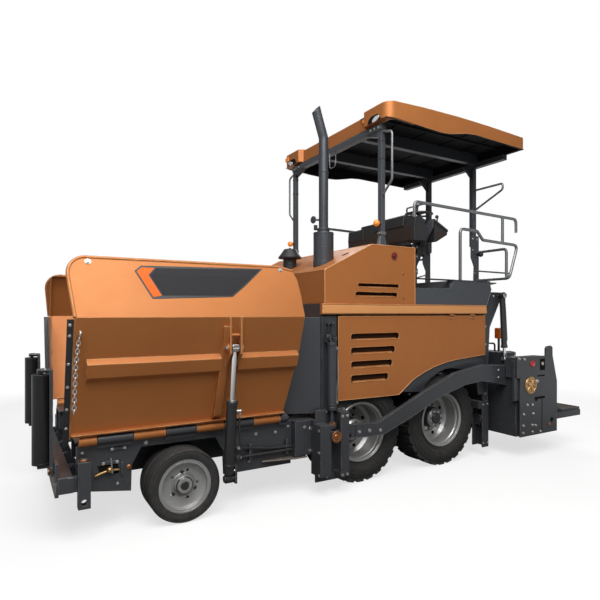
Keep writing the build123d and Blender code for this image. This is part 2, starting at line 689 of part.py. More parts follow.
def arc_xz(x, z, radius, first, last, count=8):
    """Points along an arc seen from the side, between two angles in degrees."""
    points = []
    for k in range(count):
        angle = math.radians(first + (last - first) * k / (count - 1))
        points.append((x + radius * math.cos(angle), z + radius * math.sin(angle)))
    return points


def fenders():
    """Slate guards over the second driven wheels: a shell over each tread and a plate beside it."""
    x, z, r0, r1 = REAR_AXLES_X[1], REAR_WHEEL_R, 556, 578
    crown = [(-1400, z + r1 - 4), (-1400, z + r0 - 4)]
    outline = arc_xz(x, z, r1, 32, 95) + crown + arc_xz(x, z, r0, 95, 32)
    shell = slab_xz(outline, FRAME_Y + 0.5, GUARD_Y[0] - 0.3)
    guard = slab_xz(GUARD_OUTLINE, *GUARD_Y)
    return both_sides(Compound(children=[shell, guard]))


# The guard plate beside the second driven wheel: its arch, then up and forward behind the door.
GUARD_Y = (925, 938)
GUARD_OUTLINE = (
    (-320, 818), (-587, 797), (-623, 866), (-700, 922), (-811, 983), (-905, 1010), (-1000, 1017),
    (-1134, 1001), (-1290, 940), (-1390, 850), (-1420, 700), (-1500, 700), (-1500, 1165), (-1030, 1165),
    (-720, 1100), (-440, 980),
)


# ---- Towing guides, arms and screed
GUIDE_FRONT_X = (630, 740)
GUIDE_REAR_X = (438, 528)
LEVEL_X = TOW_PIN_X - 8
LEVEL_Y = 1018


def tow_guides():
    """An upright guide each side: a back plate, a front rail and a rear rail for the tow block."""
    low = 108
    back = block(400, GUIDE_FRONT_X[1] - 20, 960, 976, low, 740)
    front = block(*GUIDE_FRONT_X, 975, 1088, 182, 627)
    flange = block(GUIDE_FRONT_X[1] - 15, GUIDE_FRONT_X[1], 932, 976, 182, 655)
    rear = block(*GUIDE_REAR_X, 1066, 1088, 160, 729)
    ties = [block(*GUIDE_REAR_X, 975, 1068, z, z + 30) for z in (160, 699)]
    feet = [block(690, 705, 930.3, 961, 360, 655), block(500, 620, 942.3, 961, 701, 740)]
    left = join(back, front, flange, rear, *ties, *feet)
    return both_sides(join(left, level_barrel()))


def level_barrel():
    """Levelling cylinder's barrel, hung from the body in the recess before the door."""
    x, y = LEVEL_X, LEVEL_Y
    barrel = rod((x, y, 760), (x, y, 1340), 40)
    eye = bar_y(y - 24, y + 24, x, 1375, 40)
    lug = block(x - 40, x + 40, 942.3, y - 20, 1340, 1410)
    bore = rod((x, y, 700), (x, y, 1300), 18 + RUNNING_GAP)
    return join(barrel, eye, lug) - bore


def tow_block():
    """The sliding block that carries the tow pin, with the levelling rod on it."""
    x, z = TOW_PIN_X, TOW_PIN_Z
    body = block(x - 55, GUIDE_FRONT_X[0] - 6, 981, 994, z - 70, z + 90)
    pin = bar_y(990, 1100, x, z, TOW_PIN_R)
    washer = bar_y(1094, 1106, x, z, 46)
    ear = block(x - 40, x + 24, 990, 1040, z + 56, z + 88)
    shaft = rod((LEVEL_X, LEVEL_Y, z + 80), (LEVEL_X, LEVEL_Y, 1225), 18)
    return both_sides(join(body, pin, washer, ear, shaft))


# Tow arm outline: along the top from the tow pin to the rear, then back along the bottom.
ARM_TOP = ((480, 600), (80, 574), (-580, 844), (-945, 979), (-1358, 1043), (-1960, 1001))
ARM_BOTTOM = (
    (-1910, 770), (-1358, 867), (-1090, 844), (-750, 754), (-315, 574), (10, 460), (480, 470),
)


def tow_arm():
    """Bent plate arm, with the eye at its front that hangs on the tow pin."""
    arm = slab_xz([*ARM_TOP, *ARM_BOTTOM], *ARM_Y)
    eye = bar_y(*ARM_Y, TOW_PIN_X, TOW_PIN_Z, TOW_EYE_R)
    neck = block(430, TOW_PIN_X, *ARM_Y, TOW_PIN_Z - 36, TOW_PIN_Z + 36)
    bore = bar_y(ARM_Y[0] - 5, ARM_Y[1] + 5, TOW_PIN_X, TOW_PIN_Z, TOW_PIN_R + RUNNING_GAP)
    return join(arm, neck, eye) - bore


LIFT_TOP = (-1787, 1797)
LIFT_EYE = (-1830, 1060)
LIFT_Y = 962


def screed_arms():
    arm = tow_arm()
    lug = slab_xz([(-1890, 990), (-1770, 990), (-1795, 1095), (-1865, 1095)], ARM_Y[0], ARM_Y[0] + 20)
    pin = bar_y(LIFT_Y + 28, ARM_Y[0] + 1, *LIFT_EYE, 20)
    return both_sides(join(arm, lug, pin))


def screed_base():
    """The screed's fixed middle: a box over the screed plate, with its front wall and brackets."""
    x0, x1 = SCREED_SPLIT_X, SCREED_X[1]
    z0 = SCREED_Z
    box = block(x0, x1, -SCREED_Y + 20, SCREED_Y - 20, z0, 700)
    hollow = block(x0 - 5, x1 - 20, -SCREED_Y + 40, SCREED_Y - 40, z0 + 40, 660)
    shell = box - hollow
    ribs = [block(x0, x1 - 10, y - 8, y + 8, z0 + 30, 670) for y in (-600, -200, 200, 600)]
    tower = slab_xz([(x1, 690), (x1, 860), (x1 - 60, 950), (x1 - 190, 950), (x1 - 240, 690)], 945, 999)
    front = block(x1 - 20, x1, -SCREED_Y + 20, SCREED_Y - 20, 690, 785)
    corner = block(x1 - 20, x1, ARM_Y[1] + 5, SCREED_Y - 20, 690, 884)
    housing = block(-2090, -1860, -SCREED_HOUSING_Y, SCREED_HOUSING_Y, 660, 1140)
    return join(shell, *ribs, tower, other_side(tower), front, corner, other_side(corner), housing)


def screed_extension():
    """The sliding extension on one side, behind the fixed screed, with end plate and walkway."""
    x0, x1 = SCREED_X[0], SCREED_SPLIT_X - 8
    z0 = SCREED_Z
    body = block(x0, x1, 20, SCREED_Y, z0, 640)
    hollow = block(x0 + 20, x1 - 20, 0, SCREED_Y - 20, z0 + 40, 600)
    shell = body - hollow
    end = slab_xz(
        [(-1775, z0), (-2432, z0), (-2434, 817), (-2352, 1112), (-2350, 1205), (-2322, 1227),
         (-2250, 1220), (-2228, 1195), (-2228, 1115), (-1720, 1124), (-1720, 890), (-1775, 890)],
        SCREED_Y + 5, SCREED_Y + 25,
    )
    foot = block(-2432, x1, SCREED_Y - 1, SCREED_Y + 6, z0, 640)
    walkway = block(-(ROLLER_X + ROLLER_R), x0 + 1, 60, SCREED_Y + 15, 372, 440)
    upper = block(-2216, -1725, 1056, SCREED_Y + 6, 890, 1112)
    return join(shell, foot, end, walkway, upper)


def lift_barrel():
    (x0, z0), (x1, z1) = LIFT_TOP, LIFT_EYE
    span = math.dist(LIFT_TOP, LIFT_EYE)
    ux, uz = (x1 - x0) / span, (z1 - z0) / span
    far = 0.80 * span
    barrel = rod((x0 + ux * 30, LIFT_Y, z0 + uz * 30), (x0 + ux * far, LIFT_Y, z0 + uz * far), 32)
    boss = bar_y(LIFT_Y - 24, LIFT_Y + 24, x0, z0, 40)
    bore = bar_y(LIFT_Y - 30, LIFT_Y + 30, x0, z0, 20 + RUNNING_GAP)
    hollow = rod((x0 + ux * 70, LIFT_Y, z0 + uz * 70),
                 (x0 + ux * (far + 5), LIFT_Y, z0 + uz * (far + 5)), 18 + RUNNING_GAP)
    return both_sides(join(barrel, boss) - [bore, hollow])


def lift_rod():
    (x0, z0), (x1, z1) = LIFT_TOP, LIFT_EYE
    span = math.dist(LIFT_TOP, LIFT_EYE)
    ux, uz = (x1 - x0) / span, (z1 - z0) / span
    near = 160
    shaft = rod((x0 + ux * near, LIFT_Y, z0 + uz * near), (x1, LIFT_Y, z1), 18)
    eye = bar_y(LIFT_Y - 22, LIFT_Y + 22, x1, z1, 32)
    return both_sides(join(shaft, eye))


# ---- Augers
AUGER_X = -1590
AUGER_Z = 400
AUGER_R = 130
AUGER_SHAFT_R = 32


def auger():
    """A half auger: a shaft with tilted blades that move material outward."""
    shaft = bar_y(6, 850, AUGER_X, AUGER_Z, AUGER_SHAFT_R)
    blades = []
    for k in range(6):
        y = 110 + k * 120
        plane = Plane(origin=(AUGER_X, y, AUGER_Z), z_dir=(0.30, 1, 0))
        blades.append(Solid.make_cylinder(AUGER_R - 3, 10, plane))
    return join(shaft, *blades)


def auger_mounts():
    """Channels behind the driven wheels and a middle gearbox, which hold the augers."""
    web = block(-1600, -1585, 780, 925, 105, 620)
    flanges = [block(-1600, -1500, y - 6, y + 6, 105, 620) for y in (786, 919)]
    carrier = block(-1500, -1440, FRAME_Y + 0.3, 925, 540, 620)
    bearing = block(AUGER_X - 60, AUGER_X + 60, 800, 862, AUGER_Z - 60, AUGER_Z + 60)
    shaft_hole = bar_y(-870, 870, AUGER_X, AUGER_Z, AUGER_SHAFT_R + RUNNING_GAP)
    left = join(web, *flanges, carrier, bearing) - shaft_hole
    gearbox = block(AUGER_X - 70, AUGER_X + 70, -36, 36, 300, 560)
    arm = block(AUGER_X + 69, -1380.3, -30, 30, 372, 438)
    middle = join(gearbox, arm) - shaft_hole
    return Compound(children=[*both_sides(left).solids(), middle.solid()])


# ---- Canopy and deck fittings
# The roof from the side: its crown from rear to front, then its skirt's lower edge back again.
ROOF_CROWN = ((-2090, 3616), (-1500, 3640), (-1007, 3650), (-500, 3645), (-54, 3628))
ROOF_SKIRT = (
    (-54, 3478), (-400, 3458), (-747, 3442), (-870, 3447), (-1007, 3473), (-1130, 3498), (-1250, 3507),
    (-2090, 3487),
)
ROOF_INSIDE_Z = 3590
ROOF_CORNER_Y = 660
# Outer face of the plate at the foot of the left rear post.
REAR_FOOT_Y = REAR_POST[1] + REAR_POST_HALF + 15


def canopy_roof():
    """Copper roof: a crowned tray, open below, with rounded corners that stand ahead of its front."""
    side_view = slab_xz([*ROOF_CROWN, *ROOF_SKIRT], -CANOPY_Y, CANOPY_Y)
    x0, x1 = CANOPY_X
    recess = x1 - 56
    plan = slab_xy(
        [(x0, -CANOPY_Y), (x1, -CANOPY_Y), (x1, -ROOF_CORNER_Y), (recess, -ROOF_CORNER_Y + 30),
         (recess, ROOF_CORNER_Y - 30), (x1, ROOF_CORNER_Y), (x1, CANOPY_Y), (x0, CANOPY_Y)],
        3300, 3700,
        [(x1, CANOPY_Y, 95), (x1, -CANOPY_Y, 95), (x0, CANOPY_Y, 40), (x0, -CANOPY_Y, 40)],
    )
    wall = 30
    inside = slab_xy(
        [(x0 + wall, -CANOPY_Y + wall), (recess - wall, -CANOPY_Y + wall), (recess - wall, CANOPY_Y - wall),
         (x0 + wall, CANOPY_Y - wall)],
        3300, ROOF_INSIDE_Z, [(recess - wall, CANOPY_Y - wall, 60), (recess - wall, -CANOPY_Y + wall, 60)],
    )
    below_front = block(x1 - 300, x1 + 10, -ROOF_CORNER_Y - 20, ROOF_CORNER_Y + 20, 3400, 3472)
    step = block(x1 - 150, x1 + 10, -ROOF_CORNER_Y + 30, ROOF_CORNER_Y - 30, 3612, 3700)
    return (side_view & plan) - [inside, below_front, step]


def canopy_frame():
    """Posts, the cranked feet of the rear posts, and the beams under the roof."""
    (fx, fy), (rx, ry) = FRONT_POST, REAR_POST
    low, high = BEAM_Z
    half, beam = FRONT_POST_HALF, 34
    pieces = [
        block(fx - beam, fx + beam, -fy - 30, fy + 30, low, high),
        block(rx - beam, rx + beam, -fy, fy, low, high),
    ]
    for side in (1, -1):
        post_y = sorted((side * (fy - half), side * (fy + half)))
        pieces.append(block(fx - half, fx + half, *post_y, HOOD_TOP_Z + 0.5, low + 1))
    half = REAR_POST_HALF
    foot_outline = [
        (rx - 60, DECK_Z + 0.3), (rx + 30, DECK_Z + 0.3), (rx + 20, 2180), (rx + 75, 2290), (rx + 75, 2560),
        (rx - 60, 2560),
    ]
    foot = slab_xz(foot_outline, ry + half - 1, REAR_FOOT_Y)
    pieces += [foot, other_side(foot)]
    for y in (ry, -ry):
        pieces.append(block(rx - half, rx + half, y - half, y + half, 2430, low + 1))
        pieces.append(block(rx - 50, fx - beam + 1, y - beam, y + beam, high - 1, ROOF_INSIDE_Z - 0.3))
    return join(*pieces)


def handrails():
    """Grey tubes: side rails, the gates behind them, post loops and front grab handles."""
    y, r, foot_y = RAIL_TUBE_Y, 17, REAR_FOOT_Y + 2
    side_rail = [(-508, y, DASH_TOP_Z + 0.3), (-508, y, 2734), (-2105, y, 2700), (-2105, y, 2545)]
    gate = [
        (-1170, y, DECK_Z + 0.3), (-1170, y, 2514), (-1440, y, 2508), (-1530, y, 2416), (-2130, y, 2396),
        (-1985, y, 2005), (-2000, foot_y, 2005),
    ]
    rear_loop = [(-2000, foot_y, 2355), (-2000, y - 50, 2355), (-2000, y - 50, 2005)]
    pieces = [pipe(points, r, 50) for points in (side_rail, gate, rear_loop)]
    pieces.append(rod((-1865, y, 2405), (-1865, y, 2705), r))
    pieces.append(rod((-2006, y - 4, 2062), (-1955, foot_y, 2125), 10))
    (fx, fy), (rx, ry) = FRONT_POST, REAR_POST
    front_gap, rear_gap = FRONT_POST_HALF + 0.3, REAR_POST_HALF + 0.3
    grab_x, loop_y = fx + 130, ry + 440
    grab = [(fx + 20, fy, 3380), (grab_x, fy, 3360), (grab_x, fy, 2760), (fx + 20, fy, 2700)]
    loop = [(rx, ry + 25, 3130), (rx, loop_y, 3130), (rx, loop_y, 3060), (rx, ry + 25, 2880)]
    pieces += [pipe(grab, 12, 40), pipe(loop, 13, 40)]
    posts = [block(fx - front_gap, fx + front_gap, fy - 40, fy + 40, 2600, 3500),
             block(rx - 40, rx + 40, ry - rear_gap, ry + rear_gap, 2600, 3500)]
    return both_sides(join(*pieces) - posts)


# Top of the dash behind the hood, where the side rail stands on it.
DASH_TOP_Z = 2572


def steering_wheel():
    """Rim, three spokes and a stem."""
    x, y, z = -840, 620, 2684
    rim = Solid.make_torus(142, 11, Plane(origin=(x, y, z), z_dir=(0, 0, 1)))
    stem = rod((x, y, 2520), (x, y, z + 6), 20)
    spokes = []
    for k in range(3):
        angle = math.radians(90 + 120 * k)
        spokes.append(rod((x, y, z), (x + 142 * math.cos(angle), y + 142 * math.sin(angle), z), 8))
    return join(stem, rim, *spokes)


def consoles():
    """The dash behind the hood, the control desk at its outer end and their stalks."""
    dash = slab_xz(
        [(-482, 2340), (-482, 2500), (-502, DASH_TOP_Z), (-600, DASH_TOP_Z), (-680, 2460), (-640, 2340)],
        -200, 930,
    )
    desk = slab_xz([(-766, 2575), (-946, 2475), (-946, 2425), (-790, 2340), (-766, 2340)], 600, 930)
    bridge = block(-770, -650, 660, 740, 2350, 2440)
    stalk = slab_xz(
        [(-750, 2341), (-840, 2341), (-700, 2100), (-700, 1806.5), (-620, 1806.5), (-620, 2110)], 660, 740)
    leg = block(-620, -560, 20, 100, 1806.5, 2341)
    return join(dash, desk, bridge, stalk, leg, steering_wheel())


def seat():
    """Driver's seat on the right of the deck."""
    base = block(-1480, -1220, -640, -420, DECK_Z + 0.3, 2120)
    cushion = block(-1560, -1130, -760, -300, 2120, 2220)
    back = slab_xz([(-1560, 2200), (-1640, 2600), (-1560, 2600), (-1470, 2200)], -750, -310)
    return join(base, cushion, back)


# ---- Collect every node
add_pair("front_tyre", front_tyre())
add_pair("front_rim", front_rim())
for axle, x in enumerate(REAR_AXLES_X, start=1):
    add_pair(f"rear_tyre_{axle}", rear_tyre(x))
    add_pair(f"rear_rim_{axle}", rear_rim(x))
add_pair("steering_knuckle", front_knuckle())
nodes["front_axle"] = front_axle()
nodes["rear_axles"] = rear_axles()
add_pair("hopper_wing", hopper_wing())
add_pair("wing_barrel", wing_barrel())
add_pair("wing_rod", wing_rod())
nodes["hopper_frame"] = hopper_frame()
nodes["hopper_floor"] = hopper_floor()
nodes["conveyors"] = conveyors()
nodes["push_beam"] = push_beam()
add_pair("roller_bracket", roller_bracket())
add_pair("push_roller", push_roller())
nodes["chassis"] = chassis()
nodes["body_walls"] = body_walls()
add_pair("side_door", side_door())
nodes["ledge_rails"] = ledge_rails()
nodes["engine_hood"] = engine_hood()
nodes["deck"] = deck()
nodes["engine"] = engine()
nodes["exhaust"] = exhaust()
nodes["air_intake"] = air_intake()
nodes["tow_guides"] = tow_guides()
nodes["tow_blocks"] = tow_block()
nodes["screed_arms"] = screed_arms()
nodes["screed_base"] = screed_base()
add_pair("screed_extension", screed_extension())
nodes["auger_mounts"] = auger_mounts()
nodes["lift_barrels"] = lift_barrel()
nodes["lift_rods"] = lift_rod()
add_pair("auger", auger())
nodes["canopy_roof"] = canopy_roof()
nodes["canopy_frame"] = canopy_frame()
nodes["handrails"] = handrails()
nodes["consoles"] = consoles()
nodes["seat"] = seat()

os.makedirs("parts", exist_ok=True)
for name, shape in nodes.items():
    export_step(shape, f"parts/{name}.step")
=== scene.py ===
"""Finish and fine detail of a wheeled asphalt paver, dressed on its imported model.
Metres, +X forward, +Y the machine's left, +Z up, origin on the ground."""

import json
import math
from itertools import product

import bmesh
import bpy
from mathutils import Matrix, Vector


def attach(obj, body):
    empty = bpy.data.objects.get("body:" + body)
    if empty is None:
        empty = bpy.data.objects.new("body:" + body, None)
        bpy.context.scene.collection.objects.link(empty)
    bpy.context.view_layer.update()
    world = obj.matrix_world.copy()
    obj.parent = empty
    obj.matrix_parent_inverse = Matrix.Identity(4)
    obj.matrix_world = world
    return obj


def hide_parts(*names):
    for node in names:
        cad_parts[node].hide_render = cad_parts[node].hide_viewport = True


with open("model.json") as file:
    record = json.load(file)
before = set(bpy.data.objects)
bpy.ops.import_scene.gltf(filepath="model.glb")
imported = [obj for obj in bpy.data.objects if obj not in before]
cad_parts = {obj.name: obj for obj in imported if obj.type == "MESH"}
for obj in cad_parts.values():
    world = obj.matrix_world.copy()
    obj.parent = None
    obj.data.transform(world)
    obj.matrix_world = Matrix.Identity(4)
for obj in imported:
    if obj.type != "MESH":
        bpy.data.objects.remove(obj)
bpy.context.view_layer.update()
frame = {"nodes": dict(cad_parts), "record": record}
X, Y, Z = (1, 0, 0), (0, 1, 0), (0, 0, 1)
SIDES = (("left", 1), ("right", -1))

# ---- Camera: stands at the machine's front left, level, with the horizon a little below mid-frame
CAMERA_AT = (3.06, 4.70, 1.60)
CAMERA_TURN = math.radians(59.66)
CAMERA_LENS = 30.0
CAMERA_SHIFT = 0.0217


def new_object(name, data, at=None, look=None):
    """A scene object, and its place and the way it looks where they are given."""
    thing = bpy.data.objects.new(name, data)
    bpy.context.scene.collection.objects.link(thing)
    if look:
        thing.location = at
        thing.rotation_mode = "QUATERNION"
        thing.rotation_quaternion = look.to_track_quat("-Z", "Y")
    return thing


def make_camera():
    camera = bpy.data.cameras.new("camera")
    camera.sensor_width = 36.0
    camera.lens = CAMERA_LENS
    camera.shift_y = CAMERA_SHIFT
    camera.clip_start = 0.05
    camera.clip_end = 200.0
    look = Vector((-math.cos(CAMERA_TURN), -math.sin(CAMERA_TURN), 0.0))
    bpy.context.scene.camera = new_object("camera", camera, CAMERA_AT, look)


make_camera()


# ---- Node helpers
class Nodes:
    """Short calls for building a node tree. A node given as a value stands for its first output."""

    def __init__(self, tree):
        self.tree = tree

    def add(self, kind, inputs=None, **properties):
        node = self.tree.nodes.new(kind)
        for key, value in properties.items():
            setattr(node, key, value)
        return self.fill(node, inputs or {})

    def fill(self, node, inputs):
        for key, value in inputs.items():
            self.feed(node.inputs[key], value)
        return node

    def feed(self, socket, value):
        if isinstance(value, bpy.types.Node):
            value = value.outputs[0]
        if isinstance(value, bpy.types.NodeSocket):
            self.tree.links.new(value, socket)
        else:
            socket.default_value = value

    def math(self, operation, a, b, clamp=False):
        return self.add("ShaderNodeMath", {0: a, 1: b}, operation=operation, use_clamp=clamp)

    def mix(self, share, a, b, blend="MIX"):
        mixed = self.add("ShaderNodeMix", data_type="RGBA", blend_type=blend)
        return self.fill(mixed, {"Factor": share, 6: a, 7: b}).outputs[2]

    def noise(self, vector, scale, detail, rough):
        return self.add("ShaderNodeTexNoise", {"Vector": vector, "Scale": scale, "Detail": detail,
                                               "Roughness": rough})

    def ramp(self, value, low, high):
        return self.add("ShaderNodeMapRange", {"Value": value, "From Min": low, "From Max": high})

    def own(self, label, kind):
        """A value that the points carry."""
        return self.add("GeometryNodeInputNamedAttribute", {"Name": label}, data_type=kind)


def node_group(name, kind, inputs, outputs):
    """A new node group: calls for building it, what it is given and what it gives."""
    tree = bpy.data.node_groups.new(name, kind)
    for way, sockets in (("INPUT", inputs), ("OUTPUT", outputs)):
        for label, value_kind in sockets.items():
            tree.interface.new_socket(label, in_out=way, socket_type="NodeSocket" + value_kind)
    kit = Nodes(tree)
    start, end = kit.add("NodeGroupInput"), kit.add("NodeGroupOutput")
    return kit, start.outputs, end


def make_wear_group():
    """Worn edges that also carry a painted highlight, grime in patches and dust on what faces up, for one
    painted or bare colour.
    """
    inputs = dict.fromkeys(("Colour", "Edge Sheen And Wear Colour", "Dust Colour"), "Color")
    for label in ("Edge Sheen And Wear", "Dust", "Mottle", "Roughness", "Grain", "Grain Scale", "Edge Radius"):
        inputs[label] = "Float"
    kit, given, out = node_group("worn finish", "ShaderNodeTree", inputs,
                                 {"Colour": "Color", "Roughness": "Float", "Normal": "Vector"})
    place = kit.add("ShaderNodeTexCoord").outputs["Object"]
    facing = kit.add("ShaderNodeNewGeometry").outputs["Normal"]
    rounded = kit.add("ShaderNodeBevel", {"Radius": given["Edge Radius"]}, samples=4)
    agree = kit.add("ShaderNodeVectorMath", {0: rounded, 1: facing}, operation="DOT_PRODUCT")
    edge = kit.ramp(agree.outputs["Value"], 0.995, 0.90)
    patches = kit.noise(place, 9.0, 6.0, 0.65)
    # Lighter colour at rounded edges: partly worn paint, partly a painted highlight along the edges
    edge_sheen_and_wear = kit.math("MULTIPLY", edge, kit.ramp(patches, 0.35, 0.62), clamp=True)
    worn = kit.math("MULTIPLY", edge_sheen_and_wear, given["Edge Sheen And Wear"], clamp=True)
    shade = kit.ramp(kit.noise(place, 1.7, 5.0, 0.6), 0.30, 0.70)
    grimy = kit.math("MULTIPLY", given["Mottle"], shade)
    dark = kit.mix(grimy, given["Colour"], (0.55, 0.52, 0.50, 1), blend="MULTIPLY")
    up = kit.add("ShaderNodeSeparateXYZ", {"Vector": facing}).outputs["Z"]
    height = kit.add("ShaderNodeSeparateXYZ", {"Vector": place}).outputs["Z"]
    flat = kit.math("MULTIPLY", kit.ramp(up, 0.25, 0.95), 0.7)
    low = kit.math("MULTIPLY", kit.ramp(height, 1.1, 0.0), 0.45)
    speckle = kit.ramp(kit.noise(place, 26.0, 8.0, 0.7), 0.38, 0.66)
    lies = kit.math("MULTIPLY", kit.math("MAXIMUM", flat, low), speckle)
    dust = kit.math("MULTIPLY", lies, given["Dust"], clamp=True)
    rougher = kit.math("ADD", given["Roughness"], kit.math("MULTIPLY", dust, 0.35))
    uneven = kit.math("MULTIPLY", kit.math("SUBTRACT", patches, 0.5), 0.16)
    grain = kit.noise(place, given["Grain Scale"], 3.0, 0.5)
    kit.fill(out, {
        "Colour": kit.mix(dust, kit.mix(worn, dark, given["Edge Sheen And Wear Colour"]), given["Dust Colour"]),
        "Roughness": kit.math("ADD", rougher, uneven, clamp=True),
        "Normal": kit.add("ShaderNodeBump", {"Distance": 0.002, "Height": grain, "Normal": rounded,
                                             "Strength": given["Grain"]})})
    return kit.tree


WEAR = make_wear_group()


def shaded(name):
    """A new material: itself, calls for building its nodes, and its main shader."""
    material = bpy.data.materials.new(name)
    material.use_nodes = True
    return material, Nodes(material.node_tree), material.node_tree.nodes["Principled BSDF"]


def finish(name, colour, edge, roughness, sheen_and_wear, dust, mottle, grain, scale=60.0, metallic=0.0, coat=0.0,
           specular=0.5, emit=0.0, radius=0.006, dusty=(0.30, 0.25, 0.20)):
    """A material whose colour, roughness and normal come from the worn finish group, its edge colour partly
    wear and partly painted highlight.
    """
    material, kit, shader = shaded(name)
    group = kit.add("ShaderNodeGroup", node_tree=WEAR)
    kit.fill(group, {
        "Colour": (*colour, 1), "Edge Sheen And Wear Colour": (*edge, 1), "Dust Colour": (*dusty, 1), "Edge Sheen And Wear": sheen_and_wear,
        "Dust": dust, "Mottle": mottle, "Roughness": roughness, "Grain": grain, "Grain Scale": scale,
        "Edge Radius": radius})
    kit.fill(shader, {
        "Base Color": group.outputs["Colour"], "Roughness": group.outputs["Roughness"],
        "Normal": group.outputs["Normal"], "Metallic": metallic, "Coat Weight": coat,
        "Coat Roughness": 0.22, "Specular IOR Level": specular})
    if emit:
        kit.fill(shader, {"Emission Color": (*colour, 1), "Emission Strength": emit})
    return material


# Each row: name, colour, colour of worn edges and painted edge highlight, roughness, share of edge wear and
# painted highlight, dust, mottle, grain, grain scale
COPPER = finish("copper paint", (0.475, 0.17, 0.046), (0.92, 0.58, 0.28), 0.54, 0.75, 0.12, 0.22, 0.1, 180,
                metallic=0.4, coat=0.05, specular=0.35, radius=0.009)
# A lighter copy of the copper paint: painted highlight for folds, rolled lips and the ledge face
COPPER_PAINTED_HIGHLIGHT = finish("copper with painted highlight", (0.8, 0.36, 0.13), (0.95, 0.66, 0.36),
                       0.42, 0.5, 0.05, 0.15, 0.08, 180, metallic=0.35, coat=0.1)
SLATE = finish("slate paint", (0.044, 0.047, 0.054), (0.3, 0.31, 0.33), 0.42, 0.75, 0.16, 0.35, 0.16, 140,
               metallic=0.15, coat=0.1)
# A lighter copy of the slate paint: painted highlight along edges
SLATE_PAINTED_HIGHLIGHT = finish("slate with painted highlight on edges", (0.085, 0.088, 0.096), (0.4, 0.41, 0.43),
                    0.34, 0.5, 0.1, 0.3, 0.1, metallic=0.25)
# A lighter copy of the slate paint: painted light for the higher cab parts
SLATE_PAINTED_LIGHT = finish("slate with painted light on the cab", (0.072, 0.078, 0.088), (0.3, 0.31, 0.33),
                   0.45, 0.6, 0.1, 0.3, 0.1, 140, specular=0.3)
WORN = finish("worn steel", (0.23, 0.2, 0.17), (0.5, 0.46, 0.42), 0.46, 0.9, 0.35, 0.8, 0.5, 70,
              metallic=0.65)
ROLLER = finish("black roller enamel", (0.0085, 0.009, 0.01), (0.22, 0.22, 0.23), 0.34, 0.7, 0.06, 0.3, 0.1,
                specular=0.3)
RUBBER = finish("tyre rubber", (0.028, 0.027, 0.027), (0.075, 0.07, 0.066), 0.72, 0.8, 0.42, 0.3, 0.55, 110,
                specular=0.35, dusty=(0.15, 0.135, 0.118))
RIM = finish("silver rim paint", (0.46, 0.46, 0.455), (0.62, 0.62, 0.6), 0.32, 0.3, 0.3, 0.35, 0.12, 120,
             metallic=0.6)
CHROME = finish("chrome rod", (0.72, 0.72, 0.73), (0.85, 0.85, 0.86), 0.12, 0.2, 0.05, 0.1, 0.03, 200,
                metallic=1.0)
ZINC = finish("zinc fastener", (0.52, 0.51, 0.49), (0.8, 0.79, 0.76), 0.34, 0.5, 0.1, 0.5, 0.2, 300,
              metallic=0.85, radius=0.002)
BRASS = finish("brass fitting", (0.5, 0.3, 0.12), (0.85, 0.6, 0.3), 0.3, 0.5, 0.1, 0.4, 0.1, metallic=0.9)
BRONZE = finish("bronze bush", (0.42, 0.16, 0.06), (0.8, 0.42, 0.22), 0.28, 0.6, 0.1, 0.4, 0.15, 120,
                metallic=0.9)
BLACK = finish("black moulding", (0.02, 0.02, 0.022), (0.08, 0.08, 0.085), 0.48, 0.5, 0.18, 0.2, 0.5, 420)
# Dark brown painted shade, for console faces that sit in shadow
PAINTED_SHADE_BROWN = finish("brown painted shade", (0.026, 0.015, 0.01), (0.09, 0.06, 0.045), 0.5, 0.4, 0.1, 0.3, 0.3)
HOLLOW = finish("unlit inside", (0.01, 0.009, 0.008), (0.012, 0.011, 0.01), 0.9, 0.0, 0.0, 0.1, 0.1,
                specular=0.1)
LOUVRE = finish("shade behind the slots", (0.045, 0.02, 0.01), (0.06, 0.03, 0.015), 0.8, 0.0, 0.0, 0.3, 0.1,
                specular=0.1)
LINER = finish("black roof liner", (0.006, 0.0065, 0.0075), (0.05, 0.05, 0.055), 0.7, 0.4, 0.0, 0.4, 0.1,
               specular=0.12)
TUBE = finish("grey tube paint", (0.24, 0.25, 0.26), (0.55, 0.56, 0.57), 0.3, 0.2, 0.08, 0.2, 0.06, 160,
              metallic=0.6)
CYLINDER = finish("black cylinder paint", (0.024, 0.025, 0.028), (0.16, 0.16, 0.17),
                  0.32, 0.5, 0.14, 0.3, 0.1, 120, metallic=0.2, coat=0.3)
STACK = finish("dark exhaust steel", (0.082, 0.088, 0.1), (0.2, 0.2, 0.21), 0.4, 0.4, 0.1, 0.5, 0.2, 100,
               metallic=0.55)
VINYL = finish("seat vinyl", (0.022, 0.022, 0.024), (0.05, 0.05, 0.055), 0.55, 0.3, 0.2, 0.2, 0.9, 260)
DECK_BLACK = finish("deck plate", (0.02, 0.021, 0.023), (0.14, 0.14, 0.15), 0.5, 0.6, 0.35, 0.4, 0.4, 90,
                    metallic=0.3)
ORANGE = finish("orange stripe", (0.74, 0.135, 0.012), (0.9, 0.3, 0.08), 0.6, 0.2, 0.05, 0.1, 0.05,
                specular=0.2)
CHARCOAL = finish("charcoal panel", (0.024, 0.023, 0.026), (0.1, 0.1, 0.11), 0.62, 0.1, 0.05, 0.2, 0.05,
                  specular=0.15)
RED = finish("red button", (0.6, 0.012, 0.01), (0.8, 0.08, 0.06), 0.3, 0.1, 0.05, 0.1, 0.02, coat=0.4)
LOCK_RED = finish("dark red lock", (0.16, 0.012, 0.008), (0.5, 0.1, 0.06), 0.3, 0.4, 0.1, 0.3, 0.05,
                  metallic=0.3, coat=0.3)
AMBER = finish("amber lens", (0.95, 0.28, 0.02), (1.0, 0.5, 0.15), 0.15, 0.1, 0.05, 0.05, 0.02,
               coat=0.8, emit=0.12)
